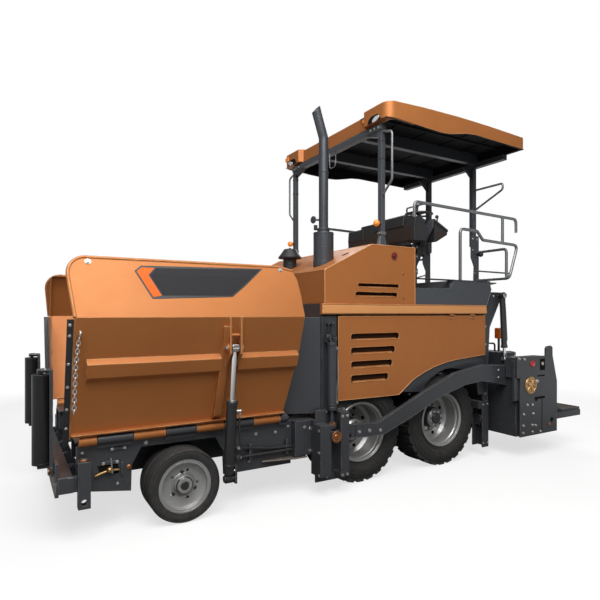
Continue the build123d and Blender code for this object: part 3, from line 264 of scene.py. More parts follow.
LENS = finish("clear lamp lens", (0.8, 0.82, 0.84), (0.95, 0.95, 0.95), 0.12, 0.1, 0.05, 0.1, 0.02,
              coat=1.0, metallic=0.3)
GLASS = finish("dark display glass", (0.01, 0.014, 0.018), (0.03, 0.03, 0.03), 0.08, 0.0, 0.05, 0.0, 0.0,
               coat=1.0)

SLOT_MATERIAL = {
    "tyre": RUBBER, "copper_paint": COPPER, "slate_paint": SLATE, "worn_steel": WORN,
    "rim_paint": RIM, "chrome_rod": CHROME, "black_plastic": BLACK, "rail_paint": TUBE,
    "cylinder_paint": CYLINDER, "seat_vinyl": VINYL, "exhaust_steel": STACK,
}


# ---- Mesh helpers
class Shape:
    """Faces gathered into one mesh."""

    def __init__(self):
        self.points, self.faces = [], []

    def add(self, points, faces):
        start = len(self.points)
        self.points += [Vector(p) for p in points]
        self.faces += [[start + i for i in face] for face in faces]
        return self

    def boxes(self, *rows):
        """Blocks, one for each row of (x, x, y, y, z, z)."""
        faces = [(0, 1, 3, 2), (4, 6, 7, 5), (0, 4, 5, 1), (2, 3, 7, 6), (0, 2, 6, 4), (1, 5, 7, 3)]
        for row in rows:
            self.add(product(row[:2], row[2:4], row[4:]), faces)
        return self

    def between(self, start, end):
        """A closed skin between two loops with the same number of points."""
        count = len(start)
        faces = [list(range(count))[::-1], list(range(count, 2 * count))]
        faces += [(i, (i + 1) % count, count + (i + 1) % count, count + i) for i in range(count)]
        return self.add([*start, *end], faces)

    def prism(self, outline, along, start, end):
        """An outline extruded along an axis: outline pairs are the other two axes in X, Y, Z order."""
        def place(pair, depth):
            values = list(pair)
            values.insert("xyz".index(along), depth)
            return values
        return self.between([place(p, start) for p in outline], [place(p, end) for p in outline])

    def lathe(self, profile, centre, axis=Y, sides=40):
        """A closed profile of (radius, along) turned about an axis through the centre."""
        axis, centre = Vector(axis).normalized(), Vector(centre)
        across = axis.orthogonal().normalized()
        other = axis.cross(across)
        count = len(profile)
        points, faces = [], []
        for k in range(sides):
            angle = 2 * math.pi * k / sides
            ray = across * math.cos(angle) + other * math.sin(angle)
            points += [centre + ray * r + axis * t for r, t in profile]
            a, b = k * count, (k + 1) % sides * count
            for i in range(count):
                j = (i + 1) % count
                faces.append((a + i, a + j, b + j, b + i))
        return self.add(points, faces)

    def ring(self, inner, outer, start, end, centre, axis=Y, sides=40):
        """A ring of square section between two radii and two places along its axis."""
        return self.lathe([(inner, start), (outer, start), (outer, end), (inner, end)], centre, axis, sides)

    def rod(self, start, end, radius, sides=20):
        return self.tube([start, end], radius, sides)

    def tube(self, path, radius, sides=8, bend=0.0, steps=6):
        """A round tube along a path, closed at its ends, its corners rounded by the bend radius."""
        path = rounded_path([Vector(p) for p in path], bend, steps)
        points, faces = [], []
        side = None
        for i, point in enumerate(path):
            before, after = path[max(i - 1, 0)], path[min(i + 1, len(path) - 1)]
            along = (after - before).normalized()
            side = along.orthogonal() if side is None else side - along * side.dot(along)
            side.normalize()
            other = along.cross(side)
            for k in range(sides):
                angle = 2 * math.pi * k / sides
                points.append(point + (side * math.cos(angle) + other * math.sin(angle)) * radius)
        for i in range(len(path) - 1):
            for k in range(sides):
                n = (k + 1) % sides
                faces.append((i * sides + k, i * sides + n, (i + 1) * sides + n, (i + 1) * sides + k))
        last = (len(path) - 1) * sides
        faces.append(list(range(sides))[::-1])
        faces.append(list(range(last, last + sides)))
        return self.add(points, faces)

    def side_tube(self, y, path, radius, sides=8, bend=0.0):
        """A tube in an upright plane along the machine, through (x, z) points."""
        return self.tube([(x, y, z) for x, z in path], radius, sides, bend)

    def ball(self, centre, radius, rings=10, sides=16):
        turns = [-math.pi / 2 + math.pi * k / rings for k in range(1, rings)]
        profile = [(radius * math.cos(angle), radius * math.sin(angle)) for angle in turns]
        tip = 0.0001 * radius
        return self.lathe([(tip, -radius), *profile, (tip, radius)], centre, Z, sides)

    def mirrored(self):
        """The same faces on the machine's other side."""
        other = Shape()
        other.points = [Vector(flip(p)) for p in self.points]
        other.faces = [face[::-1] for face in self.faces]
        return other

    def both(self):
        other = self.mirrored()
        return self.add(other.points, other.faces)


def flip(vector):
    return (vector[0], -vector[1], vector[2])


def rounded_path(path, bend, steps):
    if bend <= 0 or len(path) < 3:
        return path
    result = [path[0]]
    for before, corner, after in zip(path, path[1:], path[2:]):
        into, out = (before - corner), (after - corner)
        turn = into.angle(out)
        reach = min(bend / max(math.tan(turn / 2), 1e-3), into.length * 0.48, out.length * 0.48)
        a, b = corner + into.normalized() * reach, corner + out.normalized() * reach
        for k in range(steps + 1):
            t = k / steps
            result.append(a * (1 - t) ** 2 + corner * 2 * t * (1 - t) + b * t * t)
    result.append(path[-1])
    return result


def object_from(shape, name, material):
    mesh = bpy.data.meshes.new(name)
    mesh.from_pydata([tuple(p) for p in shape.points], [], shape.faces)
    cleaner = bmesh.new()
    cleaner.from_mesh(mesh)
    bmesh.ops.remove_doubles(cleaner, verts=cleaner.verts, dist=1e-5)
    bmesh.ops.recalc_face_normals(cleaner, faces=cleaner.faces)
    cleaner.to_mesh(mesh)
    cleaner.free()
    mesh.materials.append(material)
    return new_object(name, mesh)


def settle(piece, body, bevel=0.0, angle=35.0):
    """Smooth shading with crisp corners, rounded edges where a bevel width is given, and the body it rides
    on.
    """
    piece.data.shade_smooth()
    if bevel:
        rounding = piece.modifiers.new("rounded edges", "BEVEL")
        rounding.width = bevel
        rounding.segments = 2
        rounding.limit_method = "ANGLE"
        rounding.angle_limit = math.radians(angle)
        rounding.use_clamp_overlap = True
        normals = piece.modifiers.new("even shading", "WEIGHTED_NORMAL")
        normals.keep_sharp = True
    else:
        piece.data.set_sharp_from_angle(angle=math.radians(angle))
    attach(piece, body)
    return piece


def add_piece(name, body, shape, material, bevel=0.0, replaces=()):
    piece = settle(object_from(shape, name, material), body, bevel)
    if replaces:
        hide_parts(*replaces)
    return piece


def add_both(name, body, shape, material, bevel=0.0):
    """A left piece and its mirror on the right. The body's name takes the side's word."""
    for side, sign in SIDES:
        own = shape if sign > 0 else shape.mirrored()
        add_piece(f"{name}_{side}", body.format(side), own, material, bevel)


# ---- Geometry node makers
def geometry_tree(name, inputs):
    return node_group(name, "GeometryNodeTree", {"Geometry": "Geometry", **inputs}, {"Geometry": "Geometry"})


def close_tree(kit, instances, material, out):
    real = kit.add("GeometryNodeRealizeInstances", {"Geometry": instances})
    kit.fill(out, {"Geometry": kit.add("GeometryNodeSetMaterial", {"Geometry": real, "Material": material})})
    return kit.tree


def fastener_tree():
    """A hexagon head on a washer at every point, aimed and sized by the points' own values."""
    kit, given, out = geometry_tree("fastener heads", {
        "Sides": "Int", "Head Height": "Float", "Washer": "Float", "Material": "Material"})
    height = given["Head Height"]
    head = kit.add("GeometryNodeMeshCylinder", {"Vertices": given["Sides"], "Radius": 1.0, "Depth": height})
    raise_by = kit.add("ShaderNodeCombineXYZ", {"Z": kit.math("MULTIPLY", height, 0.5)})
    lifted = kit.add("GeometryNodeTransform", {"Geometry": head, "Translation": raise_by})
    washer = kit.add("GeometryNodeMeshCylinder", {"Vertices": 14, "Radius": given["Washer"], "Depth": 0.24})
    both = kit.add("GeometryNodeJoinGeometry", {0: lifted})
    kit.feed(both.inputs[0], washer)
    turn = kit.add("FunctionNodeAlignRotationToVector", {"Vector": kit.own("aim", "FLOAT_VECTOR")}, axis="Z")
    placed = kit.add("GeometryNodeInstanceOnPoints", {
        "Points": given["Geometry"], "Instance": both, "Rotation": turn, "Scale": kit.own("size", "FLOAT")})
    return close_tree(kit, placed, given["Material"], out)


def row_tree():
    """Copies of the given mesh in a straight row."""
    kit, given, out = geometry_tree("copies in a row", {
        "Count": "Int", "Step": "Vector", "Material": "Material"})
    points = kit.add("GeometryNodeMeshLine", {"Count": given["Count"], "Offset": given["Step"]})
    placed = kit.add("GeometryNodeInstanceOnPoints", {"Points": points, "Instance": given["Geometry"]})
    return close_tree(kit, placed, given["Material"], out)


def chain_tree():
    """Round-wire links at every point, each turned a quarter from the last."""
    kit, given, out = geometry_tree("chain links", {
        "Link Length": "Float", "Wire": "Float", "Material": "Material"})
    length = given["Link Length"]
    ring = kit.add("GeometryNodeCurvePrimitiveCircle", {"Resolution": 14, "Radius": 0.5})
    stretch = kit.add("ShaderNodeCombineXYZ", {"X": length, "Y": kit.math("MULTIPLY", length, 0.62)})
    shaped = kit.add("GeometryNodeTransform", {"Geometry": ring, "Scale": stretch})
    wire = kit.add("GeometryNodeCurvePrimitiveCircle", {"Resolution": 7, "Radius": given["Wire"]})
    link = kit.add("GeometryNodeCurveToMesh", {"Curve": shaped, "Profile Curve": wire})
    turn = kit.add("FunctionNodeAlignRotationToVector", {"Vector": kit.own("aim", "FLOAT_VECTOR")}, axis="X")
    roll = kit.add("ShaderNodeCombineXYZ", {"X": kit.own("size", "FLOAT")})
    both = kit.add("FunctionNodeRotateRotation", {0: turn, 1: roll}, rotation_space="LOCAL")
    placed = kit.add("GeometryNodeInstanceOnPoints", {
        "Points": given["Geometry"], "Instance": link, "Rotation": both})
    return close_tree(kit, placed, given["Material"], out)


FASTENERS, ROW, CHAIN = fastener_tree(), row_tree(), chain_tree()


def add_grown(name, body, source, tree, material, values, angle=35.0):
    """The source's mesh after a geometry node tree, as a plain mesh on a body."""
    maker = source.modifiers.new("maker", "NODES")
    maker.node_group = tree
    values = {**values, "Material": material}
    for item in tree.interface.items_tree:
        if item.in_out == "INPUT" and item.name in values:
            maker[item.identifier] = values[item.name]
    bpy.context.view_layer.update()
    graph = bpy.context.evaluated_depsgraph_get()
    mesh = bpy.data.meshes.new_from_object(source.evaluated_get(graph))
    source.modifiers.clear()
    source.data = mesh
    return settle(source, body, angle=angle)


def point_cloud(name, rows):
    """A mesh of loose points with the values aim and size on each."""
    mesh = bpy.data.meshes.new(name)
    mesh.from_pydata([tuple(place) for place, aim, size in rows], [], [])
    for key, kind in (("aim", "FLOAT_VECTOR"), ("size", "FLOAT")):
        mesh.attributes.new(key, kind, "POINT")
    for i, (place, aim, size) in enumerate(rows):
        mesh.attributes["aim"].data[i].vector = Vector(aim).normalized()
        mesh.attributes["size"].data[i].value = size
    return new_object(name, mesh)


def side_rows(y, radius, places):
    """Fasteners on an outer side face: (place, aim, radius) rows for (x, z) places at one Y."""
    return [((x, y, z), Y, radius) for x, z in places]


def flipped_rows(rows):
    return [(flip(place), flip(aim), radius) for place, aim, radius in rows]


def add_bolts(name, body, rows, material=ZINC, sides=6, height=0.75):
    """Fastener heads at (place, aim, radius) rows."""
    values = {"Sides": sides, "Head Height": height, "Washer": 1.35}
    add_grown(name, body, point_cloud(name, rows), FASTENERS, material, values, 30.0)


def add_even_bolts(name, body, rows, *options):
    """One piece with the fastener heads of the left side and their mirror images."""
    add_bolts(name, body, rows + flipped_rows(rows), *options)


def add_side_bolts(name, body, rows, *options):
    """Fastener heads on the left body, and their mirror images as a piece on the right one."""
    for side, sign in SIDES:
        add_bolts(f"{name}_{side}", body.format(side), rows if sign > 0 else flipped_rows(rows), *options)


def add_chain(name, body, path, link, wire, material, overlap=0.26, steps=5):
    """A chain of round links along a path of points, each hooked into the last by a share of its length."""
    path = rounded_path([Vector(p) for p in path], link * 2, steps)
    pitch = link * (1 - overlap)
    rows, spare = [], 0.0
    for a, b in zip(path, path[1:]):
        length = (b - a).length
        where = -spare
        while where + pitch <= length:
            where += pitch
            rows.append((a.lerp(b, where / length), b - a, math.pi / 2 * (len(rows) % 2)))
        spare = length - where
    values = {"Link Length": link, "Wire": wire}
    add_grown(name, body, point_cloud(name, rows), CHAIN, material, values, 60.0)


# ---- The imported pieces get their finishes, with welded corners and softly rounded edges
# The canopy frame and deck take the slate with painted light
OWN_MATERIAL = {
    "engine": HOLLOW, "push_roller_left": ROLLER, "push_roller_right": ROLLER, "push_beam": SLATE,
    "auger_left": SLATE, "auger_right": SLATE, "canopy_frame": SLATE_PAINTED_LIGHT, "deck": SLATE_PAINTED_LIGHT,
}
REAL_CORNER = math.radians(32)


def weld_tree():
    """Joins loose triangles and shades them smooth, except across real corners."""
    kit, given, out = geometry_tree("weld and smooth", {"Corner": "Float"})
    kit.tree.interface.items_tree["Corner"].default_value = REAL_CORNER
    welded = kit.add("GeometryNodeMergeByDistance", {"Geometry": given["Geometry"], "Distance": 1e-5})
    smooth = kit.add("GeometryNodeSetShadeSmooth", {"Geometry": welded}, domain="FACE")
    angle = kit.add("GeometryNodeInputMeshEdgeAngle")
    gentle = kit.add("FunctionNodeCompare", {"A": angle, "B": given["Corner"]}, operation="LESS_THAN")
    edges = kit.add("GeometryNodeSetShadeSmooth", {"Geometry": smooth, "Shade Smooth": gentle}, domain="EDGE")
    kit.fill(out, {"Geometry": edges})
    return kit.tree


WELD = weld_tree()

for node, piece in frame["nodes"].items():
    slot_name = next(s["material_slot"] for s in frame["record"]["subparts"] if s["node"] == node)
    painted = OWN_MATERIAL.get(node, SLOT_MATERIAL[slot_name])
    for index in range(len(piece.data.materials)):
        piece.data.materials[index] = painted
    if not piece.data.materials:
        piece.data.materials.append(painted)
    smoother = piece.modifiers.new("weld and smooth", "NODES")
    smoother.node_group = WELD

# ---- Stage: floor and sky tones, then each lamp's place, aim, size and watts
FLOOR_UNSEEN, FLOOR_SEEN = (0.15, 0.15, 0.15, 1), (0.90, 0.90, 0.895, 1)
FLOOR_GLOW = 0.68
FADE_START, FADE_END = 3.0, 7.5
SKY_FILL = 0.20
LAMPS = {
    "key": ((2.5, 4.8, 7.2), (0.3, 0.3, 1.0), 6.0, 780),
    "top": ((-1.5, 0.5, 9.5), (-0.3, 0, 1.0), 7.0, 140),
    "front": ((8.5, 1.0, 4.0), (1.0, 0, 1.2), 4.0, 25),
    "back": ((-6.0, -6.0, 6.0), (0, 0, 1.2), 5.0, 420),
}


def make_stage():
    """Pale floor that fades to white away from the machine, soft lamps and a white sky."""
    material, kit, shader = shaded("studio floor")
    place = kit.add("ShaderNodeTexCoord").outputs["Object"]
    distance = kit.add("ShaderNodeVectorMath", {0: place}, operation="LENGTH").outputs["Value"]
    rays = kit.add("ShaderNodeLightPath").outputs
    tone = kit.mix(rays["Is Camera Ray"], FLOOR_UNSEEN, FLOOR_SEEN)
    kit.fill(shader, {"Base Color": tone, "Roughness": 0.85, "Specular IOR Level": 0.15})
    seen = kit.math("MAXIMUM", rays["Is Camera Ray"], rays["Is Glossy Ray"])
    seen = kit.math("MAXIMUM", seen, rays["Is Transmission Ray"])
    near = kit.math("MULTIPLY", rays["Is Camera Ray"], FLOOR_GLOW)
    glowing = kit.math("MAXIMUM", kit.ramp(distance, FADE_START, FADE_END), near)
    glow = kit.add("ShaderNodeEmission", {"Color": (1, 1, 1, 1), "Strength": 1.0})
    blend = kit.add("ShaderNodeMixShader", {"Fac": kit.math("MULTIPLY", glowing, seen), 1: shader, 2: glow})
    kit.fill(kit.tree.nodes["Material Output"], {"Surface": blend})
    floor = Shape().boxes((-30, 30, -30, 30, -0.02, -0.0005))
    object_from(floor, "studio_floor", material)

    world = bpy.data.worlds.new("studio")
    bpy.context.scene.world = world
    world.use_nodes = True
    kit = Nodes(world.node_tree)
    rays = kit.add("ShaderNodeLightPath").outputs
    seen = kit.math("MAXIMUM", rays["Is Camera Ray"], rays["Is Transmission Ray"])
    fill = kit.add("ShaderNodeBackground", {"Color": (0.96, 0.98, 1.0, 1), "Strength": SKY_FILL})
    white = kit.add("ShaderNodeBackground", {"Color": (1, 1, 1, 1), "Strength": 1.0})
    blend = kit.add("ShaderNodeMixShader", {"Fac": seen, 1: fill, 2: white})
    kit.fill(kit.tree.nodes["World Output"], {"Surface": blend})

    for name, (place, aim, size, power) in LAMPS.items():
        lamp = bpy.data.lights.new(name, "AREA")
        lamp.size = size
        lamp.energy = power
        new_object(name, lamp, place, Vector(aim) - Vector(place))
    bpy.context.scene.view_settings.view_transform = "Standard"


make_stage()

# ==== Hopper wings: the left wing's bends in Y and Z, and its cylinder's two pins
HINGE = (0.875, 0.690)
FOLD, CREASE, LIP = (1.190, 1.570), (1.058, 1.876), (0.998, 1.985)
WING_BENDS = (HINGE, FOLD, CREASE, LIP)
WING_FOOT, WING_EYE = (1.562, 1.030, 0.300), (1.562, 1.150, 1.335)


def wing_skin(z):
    """The left wing's outer face at a height: its Y and its outward normal."""
    for (y0, z0), (y1, z1) in zip(WING_BENDS, WING_BENDS[1:]):
        if z <= z1 or (y1, z1) == LIP:
            return y0 + (y1 - y0) * (z - z0) / (z1 - z0), Vector((0, z1 - z0, y0 - y1)).normalized()


def on_wing(x, z, lift=0.0):
    y, out = wing_skin(z)
    return Vector((x, y, z)) + out * lift


def half_polygon(outline, level, keep_above):
    """The part of an (x, z) outline on one side of a height."""
    result = []
    for (x0, z0), (x1, z1) in zip(outline, outline[1:] + outline[:1]):
        inside0, inside1 = (z0 > level) == keep_above, (z1 > level) == keep_above
        if inside0:
            result.append((x0, z0))
        if inside0 != inside1:
            share = (level - z0) / (z1 - z0)
            result.append((x0 + (x1 - x0) * share, level))
    return result


def offset_outline(outline, grow):
    """An (x, z) outline pushed out by a margin, negative to shrink it."""
    area = sum(x0 * z1 - x1 * z0 for (x0, z0), (x1, z1) in zip(outline, outline[1:] + outline[:1]))
    sign = 1 if area > 0 else -1
    result = []
    count = len(outline)
    for i in range(count):
        before, here, after = (Vector(outline[(i + k) % count]) for k in (-1, 0, 1))
        a, b = (here - before).normalized(), (after - here).normalized()
        na, nb = Vector((a.y, -a.x)) * sign, Vector((b.y, -b.x)) * sign
        middle = (na + nb).normalized()
        result.append(tuple(here + middle * grow / max(middle.dot(na), 0.4)))
    return result


def add_sticker(name, outline, grow, lift, material):
    """A thin film on each wing's outer face, bent where the wing is bent."""
    shape = Shape()
    outline = offset_outline(outline, grow)
    for above in (False, True):
        part = half_polygon(outline, CREASE[1], above)
        if len(part) > 2:
            out = wing_skin(CREASE[1] + (0.001 if above else -0.001))[1]
            base = [Vector((x, wing_skin(z)[0], z)) + out * lift for x, z in part]
            shape.between(base, [p + out * 0.0006 for p in base])
    add_both(name, "wing_{}", shape, material)


CHEVRON = [(2.273, 1.897), (2.229, 1.933), (2.128, 1.93), (2.183, 1.872), (2.103, 1.721), (2.172, 1.707)]
PANEL = [CHEVRON[2], (1.276, 1.955), (1.464, 1.806), (1.57, 1.73), CHEVRON[4], CHEVRON[3]]
BORDER = [CHEVRON[0], CHEVRON[1], *PANEL[1:4], CHEVRON[5]]


def corner_arc(steps=8):
    """The wing's rounded front top corner, in X and Z."""
    x, z, r = 2.597, 1.867, 0.118
    turns = [math.radians(90 - 90 * k / steps) for k in range(steps + 1)]
    return [(x + r * math.cos(a), z + r * math.sin(a)) for a in turns]


def make_wings():
    path = [(0.985, 1.957), (1.105, 1.985)] + corner_arc() + [(2.715, 1.85), (2.684, 1.573)]
    roll = Shape().tube([on_wing(x, z, -0.004) for x, z in path], 0.013, 10)
    add_both("wing_rolled_edge", "wing_{}", roll, COPPER)
    eye_x, eye_y, eye_z = WING_EYE
    rest = Shape().prism([(0.882, 0.737), (0.93, 0.741), (0.93, 0.749), (0.886, 0.76)], "x", 1.004, 2.682)
    rest.rod((eye_x - 0.046, eye_y + 0.012, 1.432), (eye_x + 0.046, eye_y + 0.012, 1.432), 0.013)
    for way in (-1, 1):
        rest.ring(0, 0.034, 0, 0.01, (eye_x + way * 0.052, eye_y, eye_z), (way, 0, 0), 24)
    add_both("wing_small_parts", "wing_{}", rest, COPPER, 0.002)
    add_sticker("wing_border", BORDER, 0.008, 0.0002, BLACK)
    add_sticker("wing_chevron", CHEVRON, -0.004, 0.0009, ORANGE)
    add_sticker("wing_panel", PANEL, -0.004, 0.0009, CHARCOAL)
    corners = ((-0.012, 0.66), (-0.004, 0.66), (-0.004, 1.56), (-0.012, 1.56))
    strip = Shape().prism([(wing_skin(z)[0] + d, z) for d, z in corners], "x", 2.6905, 2.73)
    add_both("wing_seal_strip", "wing_{}", strip, BLACK, 0.002)

    rows = [(on_wing(2.712, z, -0.003), wing_skin(z)[1], 0.008) for z in (0.8, 0.94, 1.1, 1.26, 1.45, 1.52)]
    rows += [(on_wing(2.585, 1.952, 0.001), wing_skin(1.95)[1], 0.016),
             (on_wing(1.092, 1.958, 0.001), wing_skin(1.95)[1], 0.014)]
    rows += [((eye_x + way * 0.062, eye_y, eye_z), (way, 0, 0), 0.015) for way in (-1, 1)]
    add_side_bolts("wing_bolts", "wing_{}", rows)
    tabs = Shape()
    for x in (2.233, 1.499):
        tabs.boxes((x - 0.045, x + 0.045, 0.952, 0.996, 1.984, 1.9925))
    for x, radius in ((2.585, 0.02), (1.092, 0.018)):
        tabs.rod((x, 0.978, 1.984), (x, 0.978, 1.9935), radius)
    add_both("lip_tabs", "wing_{}", tabs, BLACK, 0.002)
    for side, sign in SIDES:
        path = [(x, sign * y, z) for x, y, z in (
            (2.655, 1.172, 1.455), (2.665, 1.165, 1.37), (2.675, 1.155, 1.25), (2.68, 1.145, 1.1),
            (2.684, 1.135, 0.95))]
        add_chain(f"wing_chain_{side}", f"wing_{side}", path, 0.036, 0.0042, ZINC)
        hook = Shape().rod((2.65, sign * 1.15, 1.47), (2.65, sign * 1.19, 1.475), 0.008)
        hook.ring(0.015, 0.026, -0.004, 0.004, (2.652, sign * 1.174, 1.462), X, 20)
        add_piece(f"chain_hook_{side}", f"wing_{side}", hook, ZINC, 0.0015)


def make_wing_cylinders():
    foot, eye = Vector(WING_FOOT), Vector(WING_EYE)
    up = (eye - foot).normalized()
    out = Vector((0, up.z, -up.y))
    side = Vector((-1, 0.25, 0)).normalized()
    top, fit, ring, low = (foot.lerp(eye, share) for share in (0.60, 0.52, 0.10, 0.06))
    gland = Shape().lathe([(0.023, 0), (0.046, 0), (0.046, 0.03), (0.04, 0.036), (0.023, 0.036)],
                          top - up * 0.03, up, 32)
    gland.ring(0.0422, 0.0455, 0, 0.02, ring, up, 32)
    add_both("cylinder_gland", "wing_barrel_{}", gland, CYLINDER, 0.002)
    fits = Shape().ring(0.0225, 0.034, 0, 0.004, top + up * 0.006, up, 32)
    fits.rod(fit + side * 0.035, fit + side * 0.075, 0.013, 14)
    fits.rod(fit + side * 0.066 - up * 0.012, fit + side * 0.066 - up * 0.05, 0.01, 14)
    fits.rod(low + side * 0.035, low + side * 0.065, 0.012, 14)
    add_both("cylinder_fittings", "wing_barrel_{}", fits, ZINC, 0.0015)
    start = fit + side * 0.066 - up * 0.045
    pipe = Shape().tube([start, start - up * 0.12 + out * 0.004, start - up * 0.3 + side * 0.03,
                         low + side * 0.075 + up * 0.1, low + side * 0.06], 0.008, 10, bend=0.1)
    add_both("cylinder_pipe", "wing_barrel_{}", pipe, BLACK)


make_wings()
make_wing_cylinders()

# ==== Frame beside the hopper, beam and rollers
FRAME_SKIN = 0.845


def make_frame_details():
    y = FRAME_SKIN
    add_both("latch_bars", "root", Shape().boxes(
        (2.3, 2.412, y - 0.002, y + 0.012, 0.594, 0.618), (2.35, 2.474, y - 0.002, y + 0.012, 0.496, 0.52),
        (2.322, 2.336, y - 0.002, y + 0.014, 0.405, 0.5)), SLATE, 0.002)
    slot = [(2.345, 0.455), (2.362, 0.494), (2.5, 0.494), (2.488, 0.452), (2.4, 0.42), (2.35, 0.424)]
    add_both("latch_slot", "root", Shape().prism(slot, "y", y - 0.001, y + 0.0015), HOLLOW)
    lever = Shape().tube([(2.52, 0.862, 0.427), (2.47, 0.866, 0.445), (2.415, 0.866, 0.458),
                          (2.352, 0.862, 0.452)], 0.009, 12, bend=0.03)
    lever.ball((2.418, 0.868, 0.46), 0.024).rod((2.418, y, 0.46), (2.418, 0.88, 0.46), 0.012)
    add_both("latch_lever", "root", lever, BRASS)
    rows = side_rows(y + 0.012, 0.009, ((2.312, 0.606), (2.4, 0.606), (2.364, 0.508), (2.46, 0.508)))
    rows += side_rows(y + 0.001, 0.011, ((2.155, 0.62), (1.239, 0.573), (1.052, 0.567), (0.925, 0.6)))
    rows += side_rows(0.93, 0.012, ((0.805, 0.596), (0.748, 0.579), (0.748, 0.383)))
    rows += side_rows(y + 0.001, 0.008, ((2.36, 0.345), (2.6, 0.6), (1.3, 0.35), (1.0, 0.33)))
    add_even_bolts("frame_bolts", "root", rows)
    add_even_bolts("frame_copper_bolts", "root", side_rows(y + 0.001, 0.014, ((2.279, 0.455),)), BRONZE, 10)
    add_both("pipe_guard", "root", Shape().prism(
        [(0.78, 0.93), (0.9, 0.93), (1.19, 0.87), (1.19, 0.846), (0.905, 0.846), (0.905, 0.7), (0.78, 0.7)],
        "z", 0.328, 0.34), WORN, 0.002)
    pipes, nuts = Shape(), Shape()
    for k, z in enumerate((0.48, 0.405)):
        at = 0.868 + k * 0.004
        pipes.tube([(0.902, at, z - 0.05 * (1 - k)), (1.1, at, z - 0.04 * (1 - k)), (1.395, at, z),
                    (1.47, at + 0.006, z + 0.02)], 0.012, 10, bend=0.1)
        nuts.rod((1.385, 0.87, z - 0.002), (1.425, 0.871, z + 0.004), 0.017, 6)
    pipes.tube([(1.47, 0.874, 0.425), (1.485, 0.885, 0.38), (1.475, 0.93, 0.33), (1.49, 0.95, 0.33)],
               0.011, 10, bend=0.03)
    add_both("wing_pipes", "root", pipes, CYLINDER)
    clips = Shape().boxes(*((x - 0.012, x + 0.012, y - 0.001, 0.876, 0.37, 0.5) for x in (0.95, 1.3)))
    add_both("pipe_clips", "root", clips, SLATE, 0.002)
    add_both("pipe_nuts", "root", nuts, ZINC, 0.001)
    lug = [(1.448, 0.525), (1.483, 0.53), (1.525, 0.345), (1.488, 0.325), (1.453, 0.33)]
    add_both("cylinder_guard", "root", Shape().prism(lug, "y", y - 0.001, 0.862), SLATE, 0.002)
    ties = Shape()
    for x in (2.4, 2.56):
        ties.prism([(0.846, 0.44), (0.9, 0.44), (0.846, 0.54)], "x", x, x + 0.01)
    add_both("post_gussets", "root", ties, SLATE, 0.001)
    add_both("wheel_arch_plate", "root", Shape().boxes((1.4, 2.42, 0.52, 0.526, 0.33, 0.625)), SLATE)


def make_beam_details():
    worn = Shape().boxes((2.664, 2.76, -0.902, -0.88, 0.348, 0.46), (2.664, 2.76, 0.88, 0.902, 0.348, 0.46),
                         (2.56, 2.667, -0.8, 0.8, 0.35, 0.362))
    for y in (-0.62, -0.2, 0.2, 0.62):
        worn.prism([(2.56, 0.36), (2.667, 0.36), (2.667, 0.45), (2.64, 0.47)], "y", y - 0.008, y + 0.008)
    add_piece("beam_ends", "root", worn, SLATE, 0.002)
    face = [(2.7664, 0.4622), (2.7674, 0.4622), (2.7802, 0.3298), (2.779, 0.3298)]
    add_piece("bumper_face", "root", Shape().prism(face, "y", -0.899, 0.899), WORN)
    rows = [((2.7715, y, 0.4), (1, 0, 0.1), 0.013) for y in (-0.8, -0.48, -0.16, 0.16, 0.48, 0.8)]
    rows += [((2.6, y, 0.569), Z, 0.022) for y in (-0.94, 0.94)]
    add_bolts("beam_bolts", "root", rows)
    pins = Shape()
    for way in (-1, 1):
        pins.rod((2.809, way * 0.8, 0.49), (2.818, way * 0.8, 0.49), 0.024)
        pins.ring(0.012, 0.034, -0.006, 0.006, (2.6, way * 0.94, 0.578), Z, 20)
    add_piece("bracket_pins", "root", pins, BRONZE, 0.002)


def make_rollers():
    x, y, low, high = 2.856, 0.77, 0.545, 1.17
    caps = Shape()
    for z0, z1 in ((low - 0.001, low + 0.012), (high - 0.012, high + 0.001)):
        edge = [(0.015, 0), (0.056, 0), (0.0603, 0.004), (0.0603, z1 - z0), (0.015, z1 - z0)]
        caps.lathe(edge, (x, y, z0), Z)
    add_both("roller_caps", "push_roller_{}", caps, ROLLER)
    top = Shape().boxes((2.786, 2.88, y - 0.056, y + 0.056, 1.198, 1.206))
    top.ring(0, 0.02, 0, 0.012, (x, y, 1.2), Z, 6)
    top.boxes(*((2.784, 2.788, y - 0.04, y + 0.04, z - 0.03, z + 0.03) for z in (0.62, 0.86, 1.1)))
    add_both("bracket_top", "roller_bracket_{}", top, SLATE, 0.002)
    rows = [((2.8, y + s, z), X, 0.009) for s in (-0.03, 0.03) for z in (1.17, 0.56)]
    rows += [((2.835, y + s, 1.206), Z, 0.008) for s in (-0.04, 0.04)]
    add_side_bolts("bracket_bolts", "roller_bracket_{}", rows)


make_frame_details()
make_beam_details()
make_rollers()

# ==== Wheels: the axles in X and Z
FRONT_AXLE = (1.888, 0.280)
REAR_AXLES = ((0.170, 0.475), (-0.900, 0.475))


def ring_of(count, radius, centre, phase=0.0):
    """Places round an axle at a radius, in X and Z."""
    turns = [phase + 2 * math.pi * k / count for k in range(count)]
    return [(centre[0] + radius * math.cos(a), centre[1] + radius * math.sin(a)) for a in turns]


